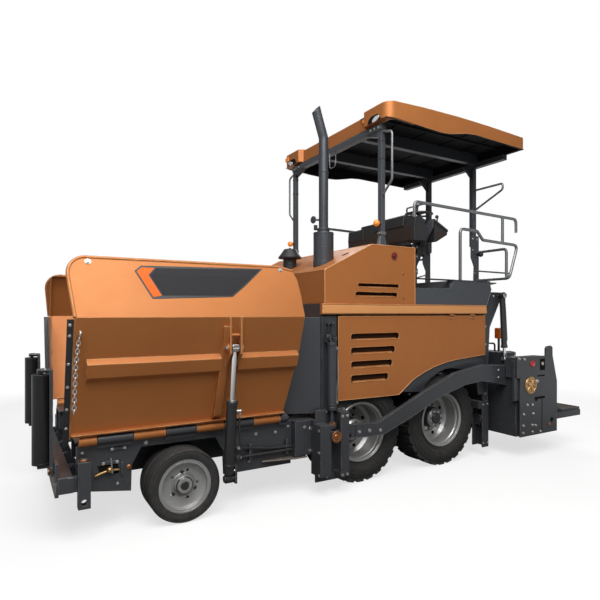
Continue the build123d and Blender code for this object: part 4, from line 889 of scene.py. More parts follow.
def make_front_wheels():
    axle_x, axle_z = FRONT_AXLE
    centre, body = (axle_x, 0, axle_z), "front_wheel_{}"
    bands = Shape()
    for r, crest in ((0.262, 0.9795), (0.232, 0.9772)):
        bands.lathe([(r, 0.9735), (r + 0.004, crest), (r + 0.008, 0.9735)], centre, sides=96)
    add_both("front_tyre_rings", body, bands, RUBBER)
    hub = Shape().lathe([(0, 0.9555), (0.058, 0.9555), (0.068, 0.947), (0.068, 0.918), (0, 0.918)], centre)
    hub.lathe([(0, 0.962), (0.03, 0.962), (0.034, 0.958), (0.034, 0.95), (0, 0.95)], centre, sides=32)
    add_both("front_hub", body, hub, CYLINDER, 0.001)
    lock = Shape().lathe([(0.176, 0.968), (0.19, 0.968), (0.1935, 0.963), (0.19, 0.958), (0.176, 0.958)],
                         centre, sides=96)
    lock.lathe([(0.08, 0.9185), (0.088, 0.9245), (0.096, 0.9185)], centre, sides=72)
    add_both("front_rim_rings", body, lock, RIM)
    bright = side_rows(0.9555, 0.0085, ring_of(6, 0.046, FRONT_AXLE, 0.3))
    bright += side_rows(0.918, 0.01, ((axle_x - 0.11, axle_z + 0.115),))
    dark = side_rows(0.918, 0.012, ring_of(3, 0.098, FRONT_AXLE, 1.45))
    for side, sign in SIDES:
        for label, rows, material in (("bright", bright, ZINC), ("dark", dark, CYLINDER)):
            own = rows if sign > 0 else flipped_rows(rows)
            add_bolts(f"front_nuts_{label}_{side}", body.format(side), own, material)


def make_rear_wheels():
    for number, axle in enumerate(REAR_AXLES, start=1):
        centre = (axle[0], 0, axle[1])
        name = f"rear_wheel_{number}"
        body = name + "_{}"
        beads = Shape()
        for r, y in ((0.302, 0.911), (0.345, 0.9185), (0.395, 0.9155)):
            beads.lathe([(r, y - 0.004), (r + 0.004, y + 0.0012), (r + 0.008, y - 0.004)], centre, sides=96)
        add_both(f"{name}_beads", body, beads, RUBBER)
        hub = Shape().lathe([(0, 0.832), (0.052, 0.832), (0.06, 0.824), (0.06, 0.812), (0, 0.812)], centre)
        hub.lathe([(0.1045, 0.7), (0.112, 0.7), (0.112, 0.78), (0.1045, 0.786)], centre, sides=48)
        add_both(f"{name}_hub_cap", body, hub, CYLINDER, 0.001)
        web = Shape().lathe([(0.15, 0.69), (0.16, 0.697), (0.17, 0.69)], centre, sides=72)
        web.lathe([(0.258, 0.897), (0.268, 0.904), (0.2775, 0.9005), (0.2775, 0.89), (0.258, 0.89)],
                  centre, sides=96)
        add_both(f"{name}_rim_rings", body, web, RIM)
        holes = Shape()
        for at_x, at_z in ring_of(8, 0.198, axle, math.radians(22.5)):
            holes.ring(0, 0.019, 0.6902, 0.6915, (at_x, 0, at_z), sides=20)
        add_both(f"{name}_web_holes", body, holes, HOLLOW)
        rows = side_rows(0.69, 0.012, ring_of(10, 0.135, axle, 0.2))
        rows += side_rows(0.82, 0.007, ring_of(8, 0.078, axle, 0.1))
        add_side_bolts(f"{name}_nuts", body, rows, CYLINDER)


make_front_wheels()
make_rear_wheels()

# ==== Doors, ledge rails and hood
DOOR_SKIN, DOOR_FRONT, DOOR_TOP = 0.957, 0.465, 1.5695
SLOT_FRONT = 0.326
DOOR_SLOTS = ((1.41, 1.346, -0.257), (1.282, 1.216, -0.205), (1.153, 1.086, -0.17), (1.024, 0.955, -0.12))
DOOR_EDGE = ((-0.254, 0.796), (-0.44, 0.93), (-0.575, 0.99), (-0.72, 1.04), (-0.872, 1.077), (-1.03, 1.101),
             (-1.508, 1.138))
DOOR_HINGES = (-0.988, -1.294)
HOOD_SKIN = 0.945
HOOD_SLOTS = ((-0.265, 0.235, 1.84, 1.882), (-0.245, 0.265, 1.754, 1.8))
HOOD_FOLDS = ((0.6035, 1.9905), (0.069, 2.2535))


def dress_slot(rims, backs, box, skin, depth, corner):
    """Rolled rim round a slot in a side wall, its lower lip, and the dark panel behind it."""
    x0, x1, z0, z1 = box
    middle = (x0 + x1) / 2
    loop = [(middle, z0), (x1, z0), (x1, z1), (x0, z1), (x0, z0), (middle, z0)]
    rims.side_tube(skin, loop, 0.0028, 8, corner)
    lip = [(skin, z0 - 0.001), (skin, z0 + 0.003), (skin - 0.02, z0 + 0.014), (skin - 0.02, z0 + 0.009)]
    rims.prism(lip, "x", x0 + corner, x1 - corner)
    backs.boxes((x0 - 0.012, x1 + 0.012, skin - depth - 0.003, skin - depth, z0 - 0.02, z1 + 0.02))
    for x, z, way_x, way_z in ((x0, z0, 1, 1), (x1, z0, -1, 1), (x1, z1, -1, -1), (x0, z1, 1, -1)):
        turns = [math.radians(15 * k) for k in range(7)]
        curve = [(x + way_x * corner * (1 - math.sin(turn)), z + way_z * corner * (1 - math.cos(turn)))
                 for turn in turns]
        rims.prism([(x, z), *curve], "y", skin - 0.004, skin + 0.0003)


def make_doors():
    rims, backs = Shape(), Shape()
    for high, low, rear in DOOR_SLOTS:
        dress_slot(rims, backs, (rear, SLOT_FRONT, low, high), DOOR_SKIN, 0.031, 0.03)
    front = DOOR_FRONT - 0.002
    edge = [(front, 1.568), (front, 0.803)] + [(x, z + 0.003) for x, z in DOOR_EDGE]
    folds = Shape().side_tube(DOOR_SKIN - 0.001, edge, 0.0032, bend=0.01)
    folds.side_tube(DOOR_SKIN - 0.001, [(front, DOOR_TOP), (-1.508, DOOR_TOP)], 0.003)
    leaves = Shape().boxes(*((x - 0.034, x + 0.034, DOOR_SKIN, DOOR_SKIN + 0.003, 1.532, 1.556)
                             for x in DOOR_HINGES))
    add_both("door_slot_rims", "door_{}", rims, COPPER)
    add_both("door_slot_backs", "door_{}", backs, LOUVRE)
    # The door folds carry the copper with painted highlight
    add_both("door_folds", "door_{}", folds, COPPER_PAINTED_HIGHLIGHT)
    add_both("door_hinge_leaves", "door_{}", leaves, COPPER, 0.001)
    places = [(x + s, 1.544) for x in DOOR_HINGES for s in (-0.022, 0.022)]
    add_side_bolts("door_bolts", "door_{}", side_rows(DOOR_SKIN + 0.003, 0.005, places), BRONZE, 10, 0.5)
    # The ledge's rolled lips and its face carry the copper with painted highlight
    lips = Shape()
    for path in ([(0.642, 1.593), (-1.516, 1.593)], [(0.642, 1.6815), (-1.516, 1.6815)],
                 [(0.642, 1.593), (0.642, 1.6815)]):
        lips.side_tube(0.9665, path, 0.0034)
    add_both("ledge_lips", "root", lips, COPPER_PAINTED_HIGHLIGHT)
    face = [(0.9668, 1.598), (0.9745, 1.598), (0.9675, 1.678), (0.9668, 1.678)]
    add_both("ledge_face", "root", Shape().prism(face, "x", -1.514, 0.64), COPPER_PAINTED_HIGHLIGHT)
    add_both("ledge_gap", "root", Shape().boxes((-1.5, 0.634, 0.93, 0.942, 1.5725, 1.5885)), HOLLOW)


def make_hood():
    rims, backs, folds = Shape(), Shape(), Shape()
    for box in HOOD_SLOTS:
        dress_slot(rims, backs, box, HOOD_SKIN, 0.034, 0.019)
    line = [(0.6035, 1.69), *HOOD_FOLDS, (-0.4785, 2.2535), (-0.4785, 1.69)]
    edges = Shape().side_tube(HOOD_SKIN - 0.0015, line, 0.0042, 10, bend=0.012)
    add_both("hood_slot_rims", "root", rims, COPPER)
    add_both("hood_slot_backs", "root", backs, LOUVRE)
    # The hood's edge and front folds carry the copper with painted highlight
    add_both("hood_edge_folds", "root", edges, COPPER_PAINTED_HIGHLIGHT)
    for x, z in HOOD_FOLDS:
        folds.tube([(x, -HOOD_SKIN, z), (x, HOOD_SKIN, z)], 0.004, 10)
    add_piece("hood_front_folds", "root", folds, COPPER_PAINTED_HIGHLIGHT)
    lock = (-0.206, HOOD_SKIN, 2.156)
    knob = Shape().lathe([(0, 0), (0.038, 0), (0.038, 0.004), (0.03, 0.007), (0.026, 0.004), (0, 0.004)],
                         lock, sides=32)
    knob.lathe([(0, 0.003), (0.018, 0.003), (0.014, 0.016), (0, 0.018)], lock, sides=24)
    add_both("hood_lock", "root", knob, LOCK_RED)
    rows = side_rows(HOOD_SKIN, 0.009, ((-0.322, 1.989), (-0.322, 1.744)))
    add_even_bolts("hood_bolts", "root", rows, BRONZE, 12, 0.5)
    # A dark disc painted as the shade in a small round hole on the hood's front slope
    hole_shade = Shape().ring(0, 0.036, 0, 0.002, (0.25, 0.76, 2.1655), (0.441, 0, 0.897), 32)
    add_piece("hood_hole_shade", "root", hole_shade, LOUVRE)


def make_exhaust_mouth(end, along):
    """The stack's slanted mouth: its back wall is longer than its front, and it is dark inside."""
    sides, radius, wall, rise = 40, 0.0468, 0.004, 0.052
    front = Vector((along.z, 0, -along.x))
    points, faces = [], []
    for k in range(sides):
        turn = 2 * math.pi * k / sides
        ray = front * math.cos(turn) + Vector(Y) * math.sin(turn)
        top = rise * (1 - math.cos(turn)) / 2
        corners = ((radius, -0.004), (radius, top), (radius - wall, top), (radius - wall, -0.004))
        points += [end + ray * r + along * t for r, t in corners]
        a, b = 4 * k, 4 * ((k + 1) % sides)
        faces += [(a + i, b + i, b + (i + 1) % 4, a + (i + 1) % 4) for i in range(4)]
    add_piece("exhaust_mouth", "root", Shape().add(points, faces), STACK)
    cap = Shape().ring(0, 0.0425, 0, 0.002, end - along * 0.001, along)
    add_piece("exhaust_inside", "root", cap, HOLLOW)


def make_exhaust():
    x, y = 0.407, 0.62
    bands = Shape()
    for z0, z1, r in ((2.052, 2.1, 0.1005), (2.36, 2.374, 0.0995), (2.225, 2.233, 0.0992)):
        bands.ring(r - 0.004, r, 0, z1 - z0, (x, y, z0), Z, 64)
    bands.ring(0.056, 0.062, 0, 0.022, (x, y, 2.4), Z, 48)
    bands.lathe([(0.045, 0), (0.0495, 0.002), (0.0495, 0.012), (0.045, 0.014)], (x, y, 2.96), Z, 48)
    knob = (x + 0.085, y - 0.045, 2.505)
    bands.rod((x + 0.04, y - 0.02, 2.505), knob, 0.01)
    bands.lathe([(0, 0), (0.036, 0), (0.036, 0.008), (0.03, 0.012), (0, 0.012)], knob, (0.9, 0.2, 0), 28)
    bands.boxes((x + 0.05, x + 0.08, y - 0.052, y - 0.03, 2.405, 2.455))
    add_piece("exhaust_bands", "root", bands, STACK, 0.001)
    make_exhaust_mouth(Vector((x + 0.0785, y, 3.5355)), Vector((0.316, 0, 0.949)))
    x, y = 0.43, -0.008
    cap = Shape().lathe([(0.12, 0), (0.1255, 0.003), (0.1255, 0.013), (0.12, 0.016)], (x, y, 2.186), Z, 64)
    cap.ring(0.071, 0.0745, 0, 0.014, (x, y, 2.115), Z, 48).ring(0, 0.012, 0, 0.016, (x, y, 2.285), Z, 6)
    add_piece("intake_rings", "root", cap, BLACK, 0.001)


make_doors()
make_hood()
make_exhaust()

# ==== Tow towers, arms and rear corners
LEVEL_CYLINDER = (0.577, 1.018)
ARM_SKIN = 1.0438
ARM_TOP = [(0.478, 0.598), (0.08, 0.572), (-0.58, 0.842), (-0.945, 0.977), (-1.358, 1.041), (-1.958, 0.999)]
ARM_LOW = [(-1.908, 0.772), (-1.358, 0.869), (-1.09, 0.846), (-0.75, 0.756), (-0.315, 0.576), (0.01, 0.462),
           (0.478, 0.472)]


def make_tow_towers():
    rows = [((0.7405, 1.062, z), X, 0.011) for z in (0.581, 0.389, 0.194)]
    rows += side_rows(1.0885, 0.01, product((0.509, 0.457), (0.691, 0.172)))
    rows += side_rows(0.9765, 0.009, product((0.415, 0.6), (0.14, 0.72)))
    add_even_bolts("tow_guide_bolts", "root", rows)
    disc = Shape().lathe([(0, 0), (0.052, 0), (0.052, 0.004), (0.042, 0.007), (0.036, 0.003), (0.024, 0.003),
                          (0.022, 0.008), (0, 0.008)], (0.585, 1.1055, 0.52))
    add_both("tow_pin_caps", "tow_blocks", disc, BRONZE, 0.0008)
    x, y = LEVEL_CYLINDER
    gland = Shape().lathe([(0.0186, 0), (0.046, 0), (0.046, 0.03), (0.0398, 0.034), (0.0398, 0.05),
                           (0.0186, 0.05)], (x, y, 0.742), Z)
    for z in (1.33, 0.8):
        gland.ring(0.0398, 0.0435, 0, 0.014, (x, y, z - 0.02), Z)
    ear = [(x - 0.026, 1.4), (x + 0.026, 1.4), (x + 0.018, 1.52), (x - 0.018, 1.52)]
    for s in (-0.03, 0.03):
        gland.prism(ear, "y", y + s - 0.005, y + s + 0.005)
    gland.rod((x, y - 0.045, 1.375), (x, y + 0.045, 1.375), 0.016)
    gland.rod((x, 0.94, 1.5), (x, y + 0.045, 1.5), 0.014)
    add_both("level_cylinder_parts", "root", gland, CYLINDER, 0.0012)
    fits = Shape()
    for z in (1.285, 0.8):
        fits.rod((x - 0.034, y, z), (x - 0.066, y - 0.01, z), 0.012, 12)
        fits.rod((x - 0.058, y - 0.008, z - 0.014), (x - 0.058, y - 0.008, z + 0.014), 0.01, 6)
    add_both("level_fittings", "root", fits, ZINC, 0.0008)
    line = Shape().tube([(x - 0.058, y - 0.008, 0.812), (x - 0.06, y - 0.014, 0.9), (0.496, 0.99, 0.98),
                         (0.492, 0.985, 1.12), (0.5, 0.99, 1.2), (x - 0.06, y - 0.01, 1.272)],
                        0.0065, 10, 0.05)
    add_both("level_pipe", "root", line, TUBE)
    rows = side_rows(1.0455, 0.013, ((0.292, 0.517), (0.175, 0.516), (0.049, 0.505)))
    rows += side_rows(1.0455, 0.011, ((-1.62, 0.97), (-1.62, 0.89), (-1.9, 0.93), (-1.78, 0.86)))
    add_even_bolts("arm_bolts", "screed", rows)
    joint = Shape().boxes((0.3375, 0.3425, 1.0448, 1.0456, 0.474, 0.582))
    joint.ring(0, 0.016, 0, 0.001, (0.4, 1.0448, 0.5), sides=20)
    add_both("arm_joint_lines", "screed", joint, HOLLOW)
    edge = Shape().side_tube(ARM_SKIN, ARM_TOP, 0.003, bend=0.1).side_tube(ARM_SKIN, ARM_LOW, 0.003, bend=0.1)
    # Edge tubes in the slate with painted highlight
    add_both("arm_edges", "screed", edge, SLATE_PAINTED_HIGHLIGHT)
    block = Shape().boxes((0.545, 0.609, 0.9975, 1.0405, 0.608, 0.625))
    for s in (-0.022, 0.022):
        block.rod((x + s, y, 0.625), (x + s, y, 0.634), 0.008, 6)
    add_both("tow_block_cap", "tow_blocks", block, BRONZE, 0.001)


def make_rear_corner():
    top, eye = Vector((-1.787, 0.962, 1.797)), Vector((-1.83, 0.962, 1.06))
    along = (eye - top).normalized()
    far, near = top + along * (0.80 * (eye - top).length), top + along * 0.10
    parts = Shape().lathe([(0.0184, -0.004), (0.037, -0.004), (0.037, -0.034), (0.0318, -0.038),
                           (0.0184, -0.038)], far + along * 0.006, along, 32)
    parts.ring(0.0318, 0.0355, 0, 0.012, near, along, 32)
    parts.tube([near + Vector((-0.036, 0, 0)), near + Vector((-0.048, 0, -0.03)),
                far + Vector((-0.048, 0, 0.09)), far + Vector((-0.032, 0, 0.05))], 0.007, bend=0.03)
    add_both("lift_cylinder_parts", "lift_barrels", parts, CYLINDER, 0.001)
    cap = Shape().lathe([(0, 0), (0.03, 0), (0.03, 0.006), (0.024, 0.01), (0, 0.01)], (top.x, 0.9955, top.z),
                        sides=28)
    add_both("lift_pin_caps", "root", cap, ZINC, 0.001)
    edge = [(-1.521, 1.658), (-1.551, 1.658), (-1.657, 1.833), (-1.818, 1.833), (-1.818, 1.761),
            (-1.631, 1.44), (-1.601, 1.06), (-1.591, 0.624)]
    # Edge tubes in the slate with painted highlight
    add_both("rear_post_edges", "root", Shape().side_tube(0.9155, edge, 0.003, bend=0.02), SLATE_PAINTED_HIGHLIGHT)
    rows = side_rows(0.9165, 0.01, ((-1.56, 1.25), (-1.56, 1.45), (-1.56, 0.7), (-1.545, 1.62), (-1.7, 1.79)))
    rows += [((-1.5005, y, 0.58), X, 0.009) for y in (0.82, 0.88)]
    rows += side_rows(0.9255, 0.009, product((-1.585, -1.515), (0.15, 0.58)))
    add_even_bolts("rear_corner_bolts", "root", rows)
    bearing = Shape().lathe([(0.034, 0), (0.058, 0), (0.058, 0.012), (0.05, 0.016), (0.034, 0.016)],
                            (-1.59, 0.862, 0.4), sides=32)
    add_both("auger_bearing_rings", "root", bearing, ZINC, 0.001)


make_tow_towers()
make_rear_corner()

# ==== Screed: the left end plate's outer face, its bolts, marks and outline in X and Z
PLATE_SKIN = 1.205
PLATE_BOLTS = ((-1.755, 1.1), (-1.844, 1.092), (-1.895, 0.586), (-1.984, 0.58), (-1.834, 0.487),
               (-1.998, 0.481), (-1.83, 0.36), (-1.985, 0.354), (-2.043, 0.345), (-1.826, 0.284),
               (-1.985, 0.278), (-2.13, 0.268))
PLATE_MARKS = ((-2.203, -2.073, 0.887, 0.903), (-2.208, -2.02, 0.636, 0.662), (-2.07, -2.03, 0.616, 0.64),
               (-2.158, -2.147, 0.242, 0.636), (-2.208, -2.117, 0.955, 1.085))
PLATE_EDGE = ((-1.777, 0.244), (-1.777, 0.888), (-1.722, 0.892), (-1.722, 1.122), (-2.226, 1.113),
              (-2.23, 1.195), (-2.252, 1.218), (-2.32, 1.225), (-2.348, 1.203), (-2.35, 1.112),
              (-2.432, 0.817), (-2.43, 0.244))
ADJUSTER = Vector((-1.95, PLATE_SKIN, 0.798))
HOUSING_BOLT_X = (-2.07, -1.88)


def make_end_plates():
    body, y = "screed_extension_{}", PLATE_SKIN
    disc = Shape()
    for r0, r1, lift in ((0, 0.098, 0.004), (0.076, 0.092, 0.011), (0, 0.026, 0.014)):
        disc.ring(r0, r1, 0, lift, ADJUSTER)
    for k in range(6):
        angle = math.radians(60 * k + 15)
        across = Vector((math.cos(angle), 0, math.sin(angle)))
        start = ADJUSTER + Vector(Y) * 0.005
        disc.rod(start + across * 0.026, start + across * 0.08, 0.0075, 8)
    dark = Shape().boxes(*((x0, x1, y, y + 0.0008, z0, z1) for x0, x1, z0, z1 in PLATE_MARKS))
    dark.ring(0, 0.026, 0, 0.001, (-2.335, y, 0.379), sides=24)
    edge = Shape().side_tube(y - 0.001, PLATE_EDGE, 0.0028, bend=0.01)
    red = Shape().lathe([(0, 0), (0.036, 0), (0.036, 0.006), (0.024, 0.011), (0, 0.012)], (-1.985, y, 1.033),
                        sides=24)
    grey = Shape().ring(0, 0.02, 0, 0.008, (-2.157, y, 1.03), sides=20)
    bush = Shape().ring(0.008, 0.022, 0, 0.005, (-2.288, y, 0.331), sides=24)
    add_both("screed_plate_marks", body, dark, HOLLOW)
    add_both("screed_plate_web", body, Shape().boxes((-1.8, -1.705, 1.15, 1.184, 0.64, 1.08)), SLATE, 0.002)
    # Edge tubes in the slate with painted highlight
    add_both("screed_plate_edges", body, edge, SLATE_PAINTED_HIGHLIGHT)
    add_both("screed_emergency_button", body, red, RED, 0.001)
    add_both("screed_switch", body, grey, ZINC, 0.001)
    add_both("screed_adjuster", body, disc, BRASS, 0.0008)
    add_both("screed_bush", body, bush, BRONZE, 0.0008)


def make_walkways():
    """An open tray behind each extension with a grating of cross bars, and the end plate's bolts."""
    body = "screed_extension_{}"
    tread = Shape().boxes(
        (-2.906, -2.56, 0.08, 1.19, 0.44, 0.452), (-2.906, -2.894, 0.08, 1.19, 0.452, 0.472),
        (-2.572, -2.56, 0.08, 1.19, 0.452, 0.472), (-2.894, -2.572, 1.178, 1.19, 0.452, 0.472),
        (-2.894, -2.572, 0.08, 0.092, 0.452, 0.472))
    tread.prism([(-2.436, 0.56), (-2.436, 0.442), (-2.56, 0.442), (-2.56, 0.48)], "y", 1.15, 1.162)
    add_both("walkway_frame", body, tread, SLATE, 0.0015)
    rows = side_rows(PLATE_SKIN + 0.0005, 0.012, PLATE_BOLTS)
    rows += side_rows(PLATE_SKIN + 0.0005, 0.017, ((-2.063, 0.838),))
    for side, sign in SIDES:
        add_bolts(f"screed_bolts_{side}", body.format(side), rows if sign > 0 else flipped_rows(rows))
        name, start = f"walkway_bars_{side}", sign * 0.105
        bar = object_from(Shape().boxes((-2.89, -2.576, start, start + 0.012, 0.452, 0.466)), name, WORN)
        add_grown(name, body.format(side), bar, ROW, WORN, {"Count": 27, "Step": Vector((0, sign * 0.04, 0))})


def make_screed_housing():
    box = Shape().boxes(*((x - 0.012, x + 0.012, -0.905, 0.905, 1.1405, 1.1485) for x in HOUSING_BOLT_X))
    box.boxes(*((-2.085, -1.865, y - 0.16, y + 0.16, 1.1405, 1.1455) for y in (-0.62, 0.0, 0.62)))
    add_piece("housing_lids", "screed", box, SLATE, 0.0015)
    across = (-0.85, -0.45, -0.2, 0.2, 0.45, 0.85)
    rows = [((x, y, 1.1485), Z, 0.01) for x, y in product(HOUSING_BOLT_X, across)]
    places = product((-1, 1), HOUSING_BOLT_X, (0.74, 1.1))
    rows += [((x, s * 0.9155, z), (0, s, 0), 0.009) for s, x, z in places]
    add_bolts("housing_bolts", "screed", rows)
    lamps, stand = Shape(), Shape()
    for s in (-1, 1):
        y = s * 0.8
        lamps.boxes((-1.965, -1.905, y - 0.04, y + 0.04, 1.3, 1.425))
        stand.rod((-1.935, y, 1.14), (-1.935, y, 1.302), 0.014)
        stand.tube([(-1.99, s * 0.7, 1.142), (-1.99, s * 0.7, 1.235), (-1.99, s * 0.58, 1.235),
                    (-1.99, s * 0.58, 1.142)], 0.011, 10, 0.03)
    add_piece("screed_signals", "screed", lamps, ORANGE, 0.01)
    add_piece("signal_stands", "screed", stand, CYLINDER)


make_end_plates()
make_walkways()
make_screed_housing()


# ==== Deck, consoles and seat
def make_deck():
    plates = Shape().boxes((-0.984, -0.486, -0.93, 0.93, 1.8062, 1.8092),
                           (-1.572, -1.002, -0.93, 0.93, 1.9402, 1.9432),
                           (-2.05, -1.592, -0.555, 0.555, 1.9402, 1.9432))
    add_piece("deck_tread", "root", plates, DECK_BLACK)
    bars = Shape().boxes((-1.04, -0.484, 0.905, 0.953, 1.9435, 1.9555),
                         (-1.6, -1.04, 0.905, 0.953, 1.9435, 1.9535),
                         (-2.02, -1.59, 0.35, 0.56, 1.9435, 1.9555))
    bars.prism([(-1.59, 0.52), (-1.59, 0.953), (-1.7, 0.953), (-2.02, 0.56), (-2.02, 0.52)], "z", 1.93, 1.942)
    add_both("deck_edge_bars", "root", bars, DECK_BLACK, 0.002)
    lips = Shape().side_tube(0.9515, [(-0.484, 1.848), (-0.966, 1.856), (-1.018, 1.9405), (-1.586, 1.9405),
                                      (-1.613, 1.86), (-1.547, 1.69)], 0.0028, bend=0.006)
    # Edge tubes in the slate with painted highlight
    add_both("deck_wall_edges", "root", lips, SLATE_PAINTED_HIGHLIGHT)


def make_handrails():
    """Grey tubes bent as on the machine: side rails, gates, post loops and outward front grabs."""
    y, foot_y = 0.905, 0.4262
    tubes = Shape()
    tubes.side_tube(y, [(-0.508, 2.5723), (-0.508, 2.734), (-2.105, 2.7), (-2.105, 2.545)], 0.017, 16, 0.05)
    gate = [(-1.17, 1.9403), (-1.17, 2.514), (-1.44, 2.508), (-1.53, 2.416), (-2.13, 2.396), (-1.985, 2.005)]
    tubes.tube([*((x, y, z) for x, z in gate), (-2, foot_y, 2.005)], 0.017, 16, 0.05)
    tubes.tube([(-2, foot_y, 2.355), (-2, 0.855, 2.355), (-2, 0.855, 2.005)], 0.017, 16, 0.05)
    tubes.rod((-1.865, y, 2.405), (-1.865, y, 2.705), 0.017)
    tubes.rod((-2.006, y - 0.004, 2.062), (-1.955, foot_y, 2.125), 0.01)
    grab = ((0.875, 3.385), (1.007, 3.35), (1.007, 2.885), (0.875, 2.765))
    loop = ((0.409, 3.13), (0.82, 3.13), (0.82, 3.06), (0.409, 2.88))
    tubes.tube([(-0.125, across, z) for across, z in grab], 0.012, 14, 0.05)
    tubes.tube([(-1.98, across, z) for across, z in loop], 0.013, 14, 0.04)
    rails = add_piece("rail_tubes", "root", tubes.both(), TUBE, replaces=("handrails",))
    rails.data.shade_smooth()


def make_consoles():
    cover = Shape().prism([(-0.4815, 2.495), (-0.468, 2.5), (-0.478, 2.6), (-0.52, 2.625), (-0.598, 2.6),
                           (-0.6, 2.5725), (-0.502, 2.5725)], "y", 0.3, 0.78)
    cover.prism([(-0.4815, 2.44), (-0.47, 2.44), (-0.48, 2.56), (-0.5, 2.5725)], "y", -0.195, 0.1)
    cover.prism([(-0.76, 2.575), (-0.952, 2.478), (-0.952, 2.452), (-0.76, 2.54)], "y", 0.59, 0.94)
    add_piece("console_covers", "root", cover, BLACK, 0.008)
    # The console fronts are painted in the brown shade
    brown = Shape().boxes((-0.4815, -0.4775, -0.15, 0.9, 2.345, 2.49))
    brown.prism([(-0.8, 2.35), (-0.94, 2.43), (-0.94, 2.448), (-0.79, 2.448)], "y", 0.9305, 0.933)
    add_piece("console_fronts", "root", brown, PAINTED_SHADE_BROWN, 0.001)
    brace = [(0.935, 2.56), (0.935, 2.49), (0.8, 2.3), (0.74, 2.3), (0.86, 2.56)]
    # The brace takes the slate with painted light
    add_piece("console_brace", "root", Shape().prism(brace, "x", -0.745, -0.735), SLATE_PAINTED_LIGHT, 0.002)
    trim = Shape().prism([(-0.775, 2.5755), (-0.94, 2.483), (-0.938, 2.4905), (-0.778, 2.584)],
                         "y", 0.615, 0.915)
    trim.prism([(-0.505, 2.5722), (-0.598, 2.5722), (-0.596, 2.58), (-0.508, 2.58)], "y", 0.4, 0.9)
    trim.prism([(-0.505, 2.5722), (-0.598, 2.5722), (-0.596, 2.596), (-0.52, 2.606), (-0.508, 2.596)],
               "y", 0.02, 0.3)
    for lean, y in ((0, 0.645), (0.01, 0.885)):
        trim.rod((-0.84, y, 2.535), (-0.84 - lean, y, 2.6), 0.008).ball((-0.842, y, 2.612), 0.019)
    add_piece("console_trim", "root", trim, BLACK, 0.003)
    panel = [(-0.8, 2.5702), (-0.905, 2.5112), (-0.904, 2.513), (-0.799, 2.5722)]
    add_piece("console_screen", "root", Shape().prism(panel, "y", 0.7, 0.84), GLASS)
    foot = Shape().boxes((-0.65, -0.53, 0.03, 0.09, 1.8095, 1.8175),
                         (-0.73, -0.59, 0.65, 0.75, 1.8095, 1.8175))
    foot.boxes(*((-0.706, -0.616, 0.652, 0.748, z - 0.028, z + 0.028) for z in (2.04, 2.2, 2.3)))
    add_piece("console_feet", "root", foot, SLATE, 0.002)
    knobs = Shape().rod((-0.7, 0.7, 2.235), (-0.79, 0.72, 2.235), 0.011).ball((-0.8, 0.722, 2.235), 0.032)
    for s in (-1, 1):
        knobs.rod((-2.01, s * 0.424, 2.325), (-2.01, s * 0.47, 2.325), 0.01)
        knobs.ball((-2.01, s * 0.48, 2.325), 0.03)
    add_piece("clamp_knobs", "root", knobs, BLACK)
    add_bolts("console_bolts", "root", side_rows(0.7485, 0.009, product((-0.69, -0.632), (2.04, 2.2, 2.3))))
    places = ((-1.93, 2.52), (-2.01, 2.52), (-1.93, 2.38), (-1.97, 2.1), (-1.97, 1.98))
    add_even_bolts("post_foot_bolts", "root", side_rows(0.4245, 0.011, places))
    wheel = Shape().lathe([(0, 0), (0.04, 0), (0.034, 0.014), (0, 0.016)], (-0.84, 0.62, 2.688), Z, 24)
    wheel.rod((-0.74, 0.7, 2.692), (-0.74, 0.7, 2.745), 0.012).ball((-0.74, 0.7, 2.75), 0.02)
    add_piece("steering_wheel_boss", "root", wheel, BLACK, 0.001)


def cushion(x0, x1, y0, y1, z0, z1, crown, pinch=0.02, steps=14):
    """A crowned closed form: a grid that swells towards its middle and pulls in along its sides."""
    low = (z1 - z0) / 2 - crown

    def point(i, j, top):
        u, v = 2 * i / steps - 1, 2 * j / steps - 1
        round_u, round_v = math.copysign(abs(u) ** 0.8, u), math.copysign(abs(v) ** 0.8, v)
        swell = low * ((1 - u ** 6) * (1 - v ** 6)) ** 0.5
        rise = swell + crown * (1 - u * u) * (1 - v * v) if top else -swell
        return ((x0 + x1) / 2 + (x1 - x0) / 2 * round_u * (1 - pinch * (1 - v * v)),
                (y0 + y1) / 2 + (y1 - y0) / 2 * round_v * (1 - pinch * (1 - u * u)), (z0 + z1) / 2 + rise)

    shape, row = Shape(), steps + 1
    for top in (True, False):
        points = [point(i, j, top) for i, j in product(range(row), range(row))]
        starts = [i * row + j for i, j in product(range(steps), range(steps))]
        shape.add(points, [(a, a + 1, a + row + 1, a + row) for a in starts])
    return shape


def make_seat():
    """A cushion, a back made lying down and then leant about its foot, and the seat's base."""
    seat = cushion(-1.558, -1.132, -0.758, -0.302, 2.122, 2.222, 0.018)
    back = cushion(2.21, 2.6, -0.748, -0.312, -0.055, 0.055, 0.015)
    foot_x, foot_z, lean = -1.515, 2.20, math.atan2(0.085, 0.40)
    for p in back.points:
        rise, thick = p.x - foot_z, p.z
        p.x = foot_x + thick * math.cos(lean) - rise * math.sin(lean)
        p.z = foot_z + rise * math.cos(lean) + thick * math.sin(lean)
    for name, shape, stands_for in (("seat_cushion", seat, ("seat",)), ("seat_back", back, ())):
        piece = add_piece(name, "root", shape, VINYL, replaces=stands_for)
        piece.data.shade_smooth()
    base = Shape().boxes((-1.47, -1.23, -0.63, -0.43, 1.9435, 2.125),
                         (-1.54, -1.15, -0.74, -0.32, 2.105, 2.128))
    add_piece("seat_base", "root", base, BLACK, 0.006)


make_deck()
make_handrails()
make_consoles()
make_seat()

# ==== Canopy
ROOF_SKIRT = ((-0.054, 3.478), (-0.4, 3.458), (-0.747, 3.442), (-0.87, 3.447), (-1.007, 3.473),
              (-1.13, 3.498), (-1.25, 3.507), (-2.09, 3.487))
POST_Y, REAR_POST_Y = 0.850, 0.380


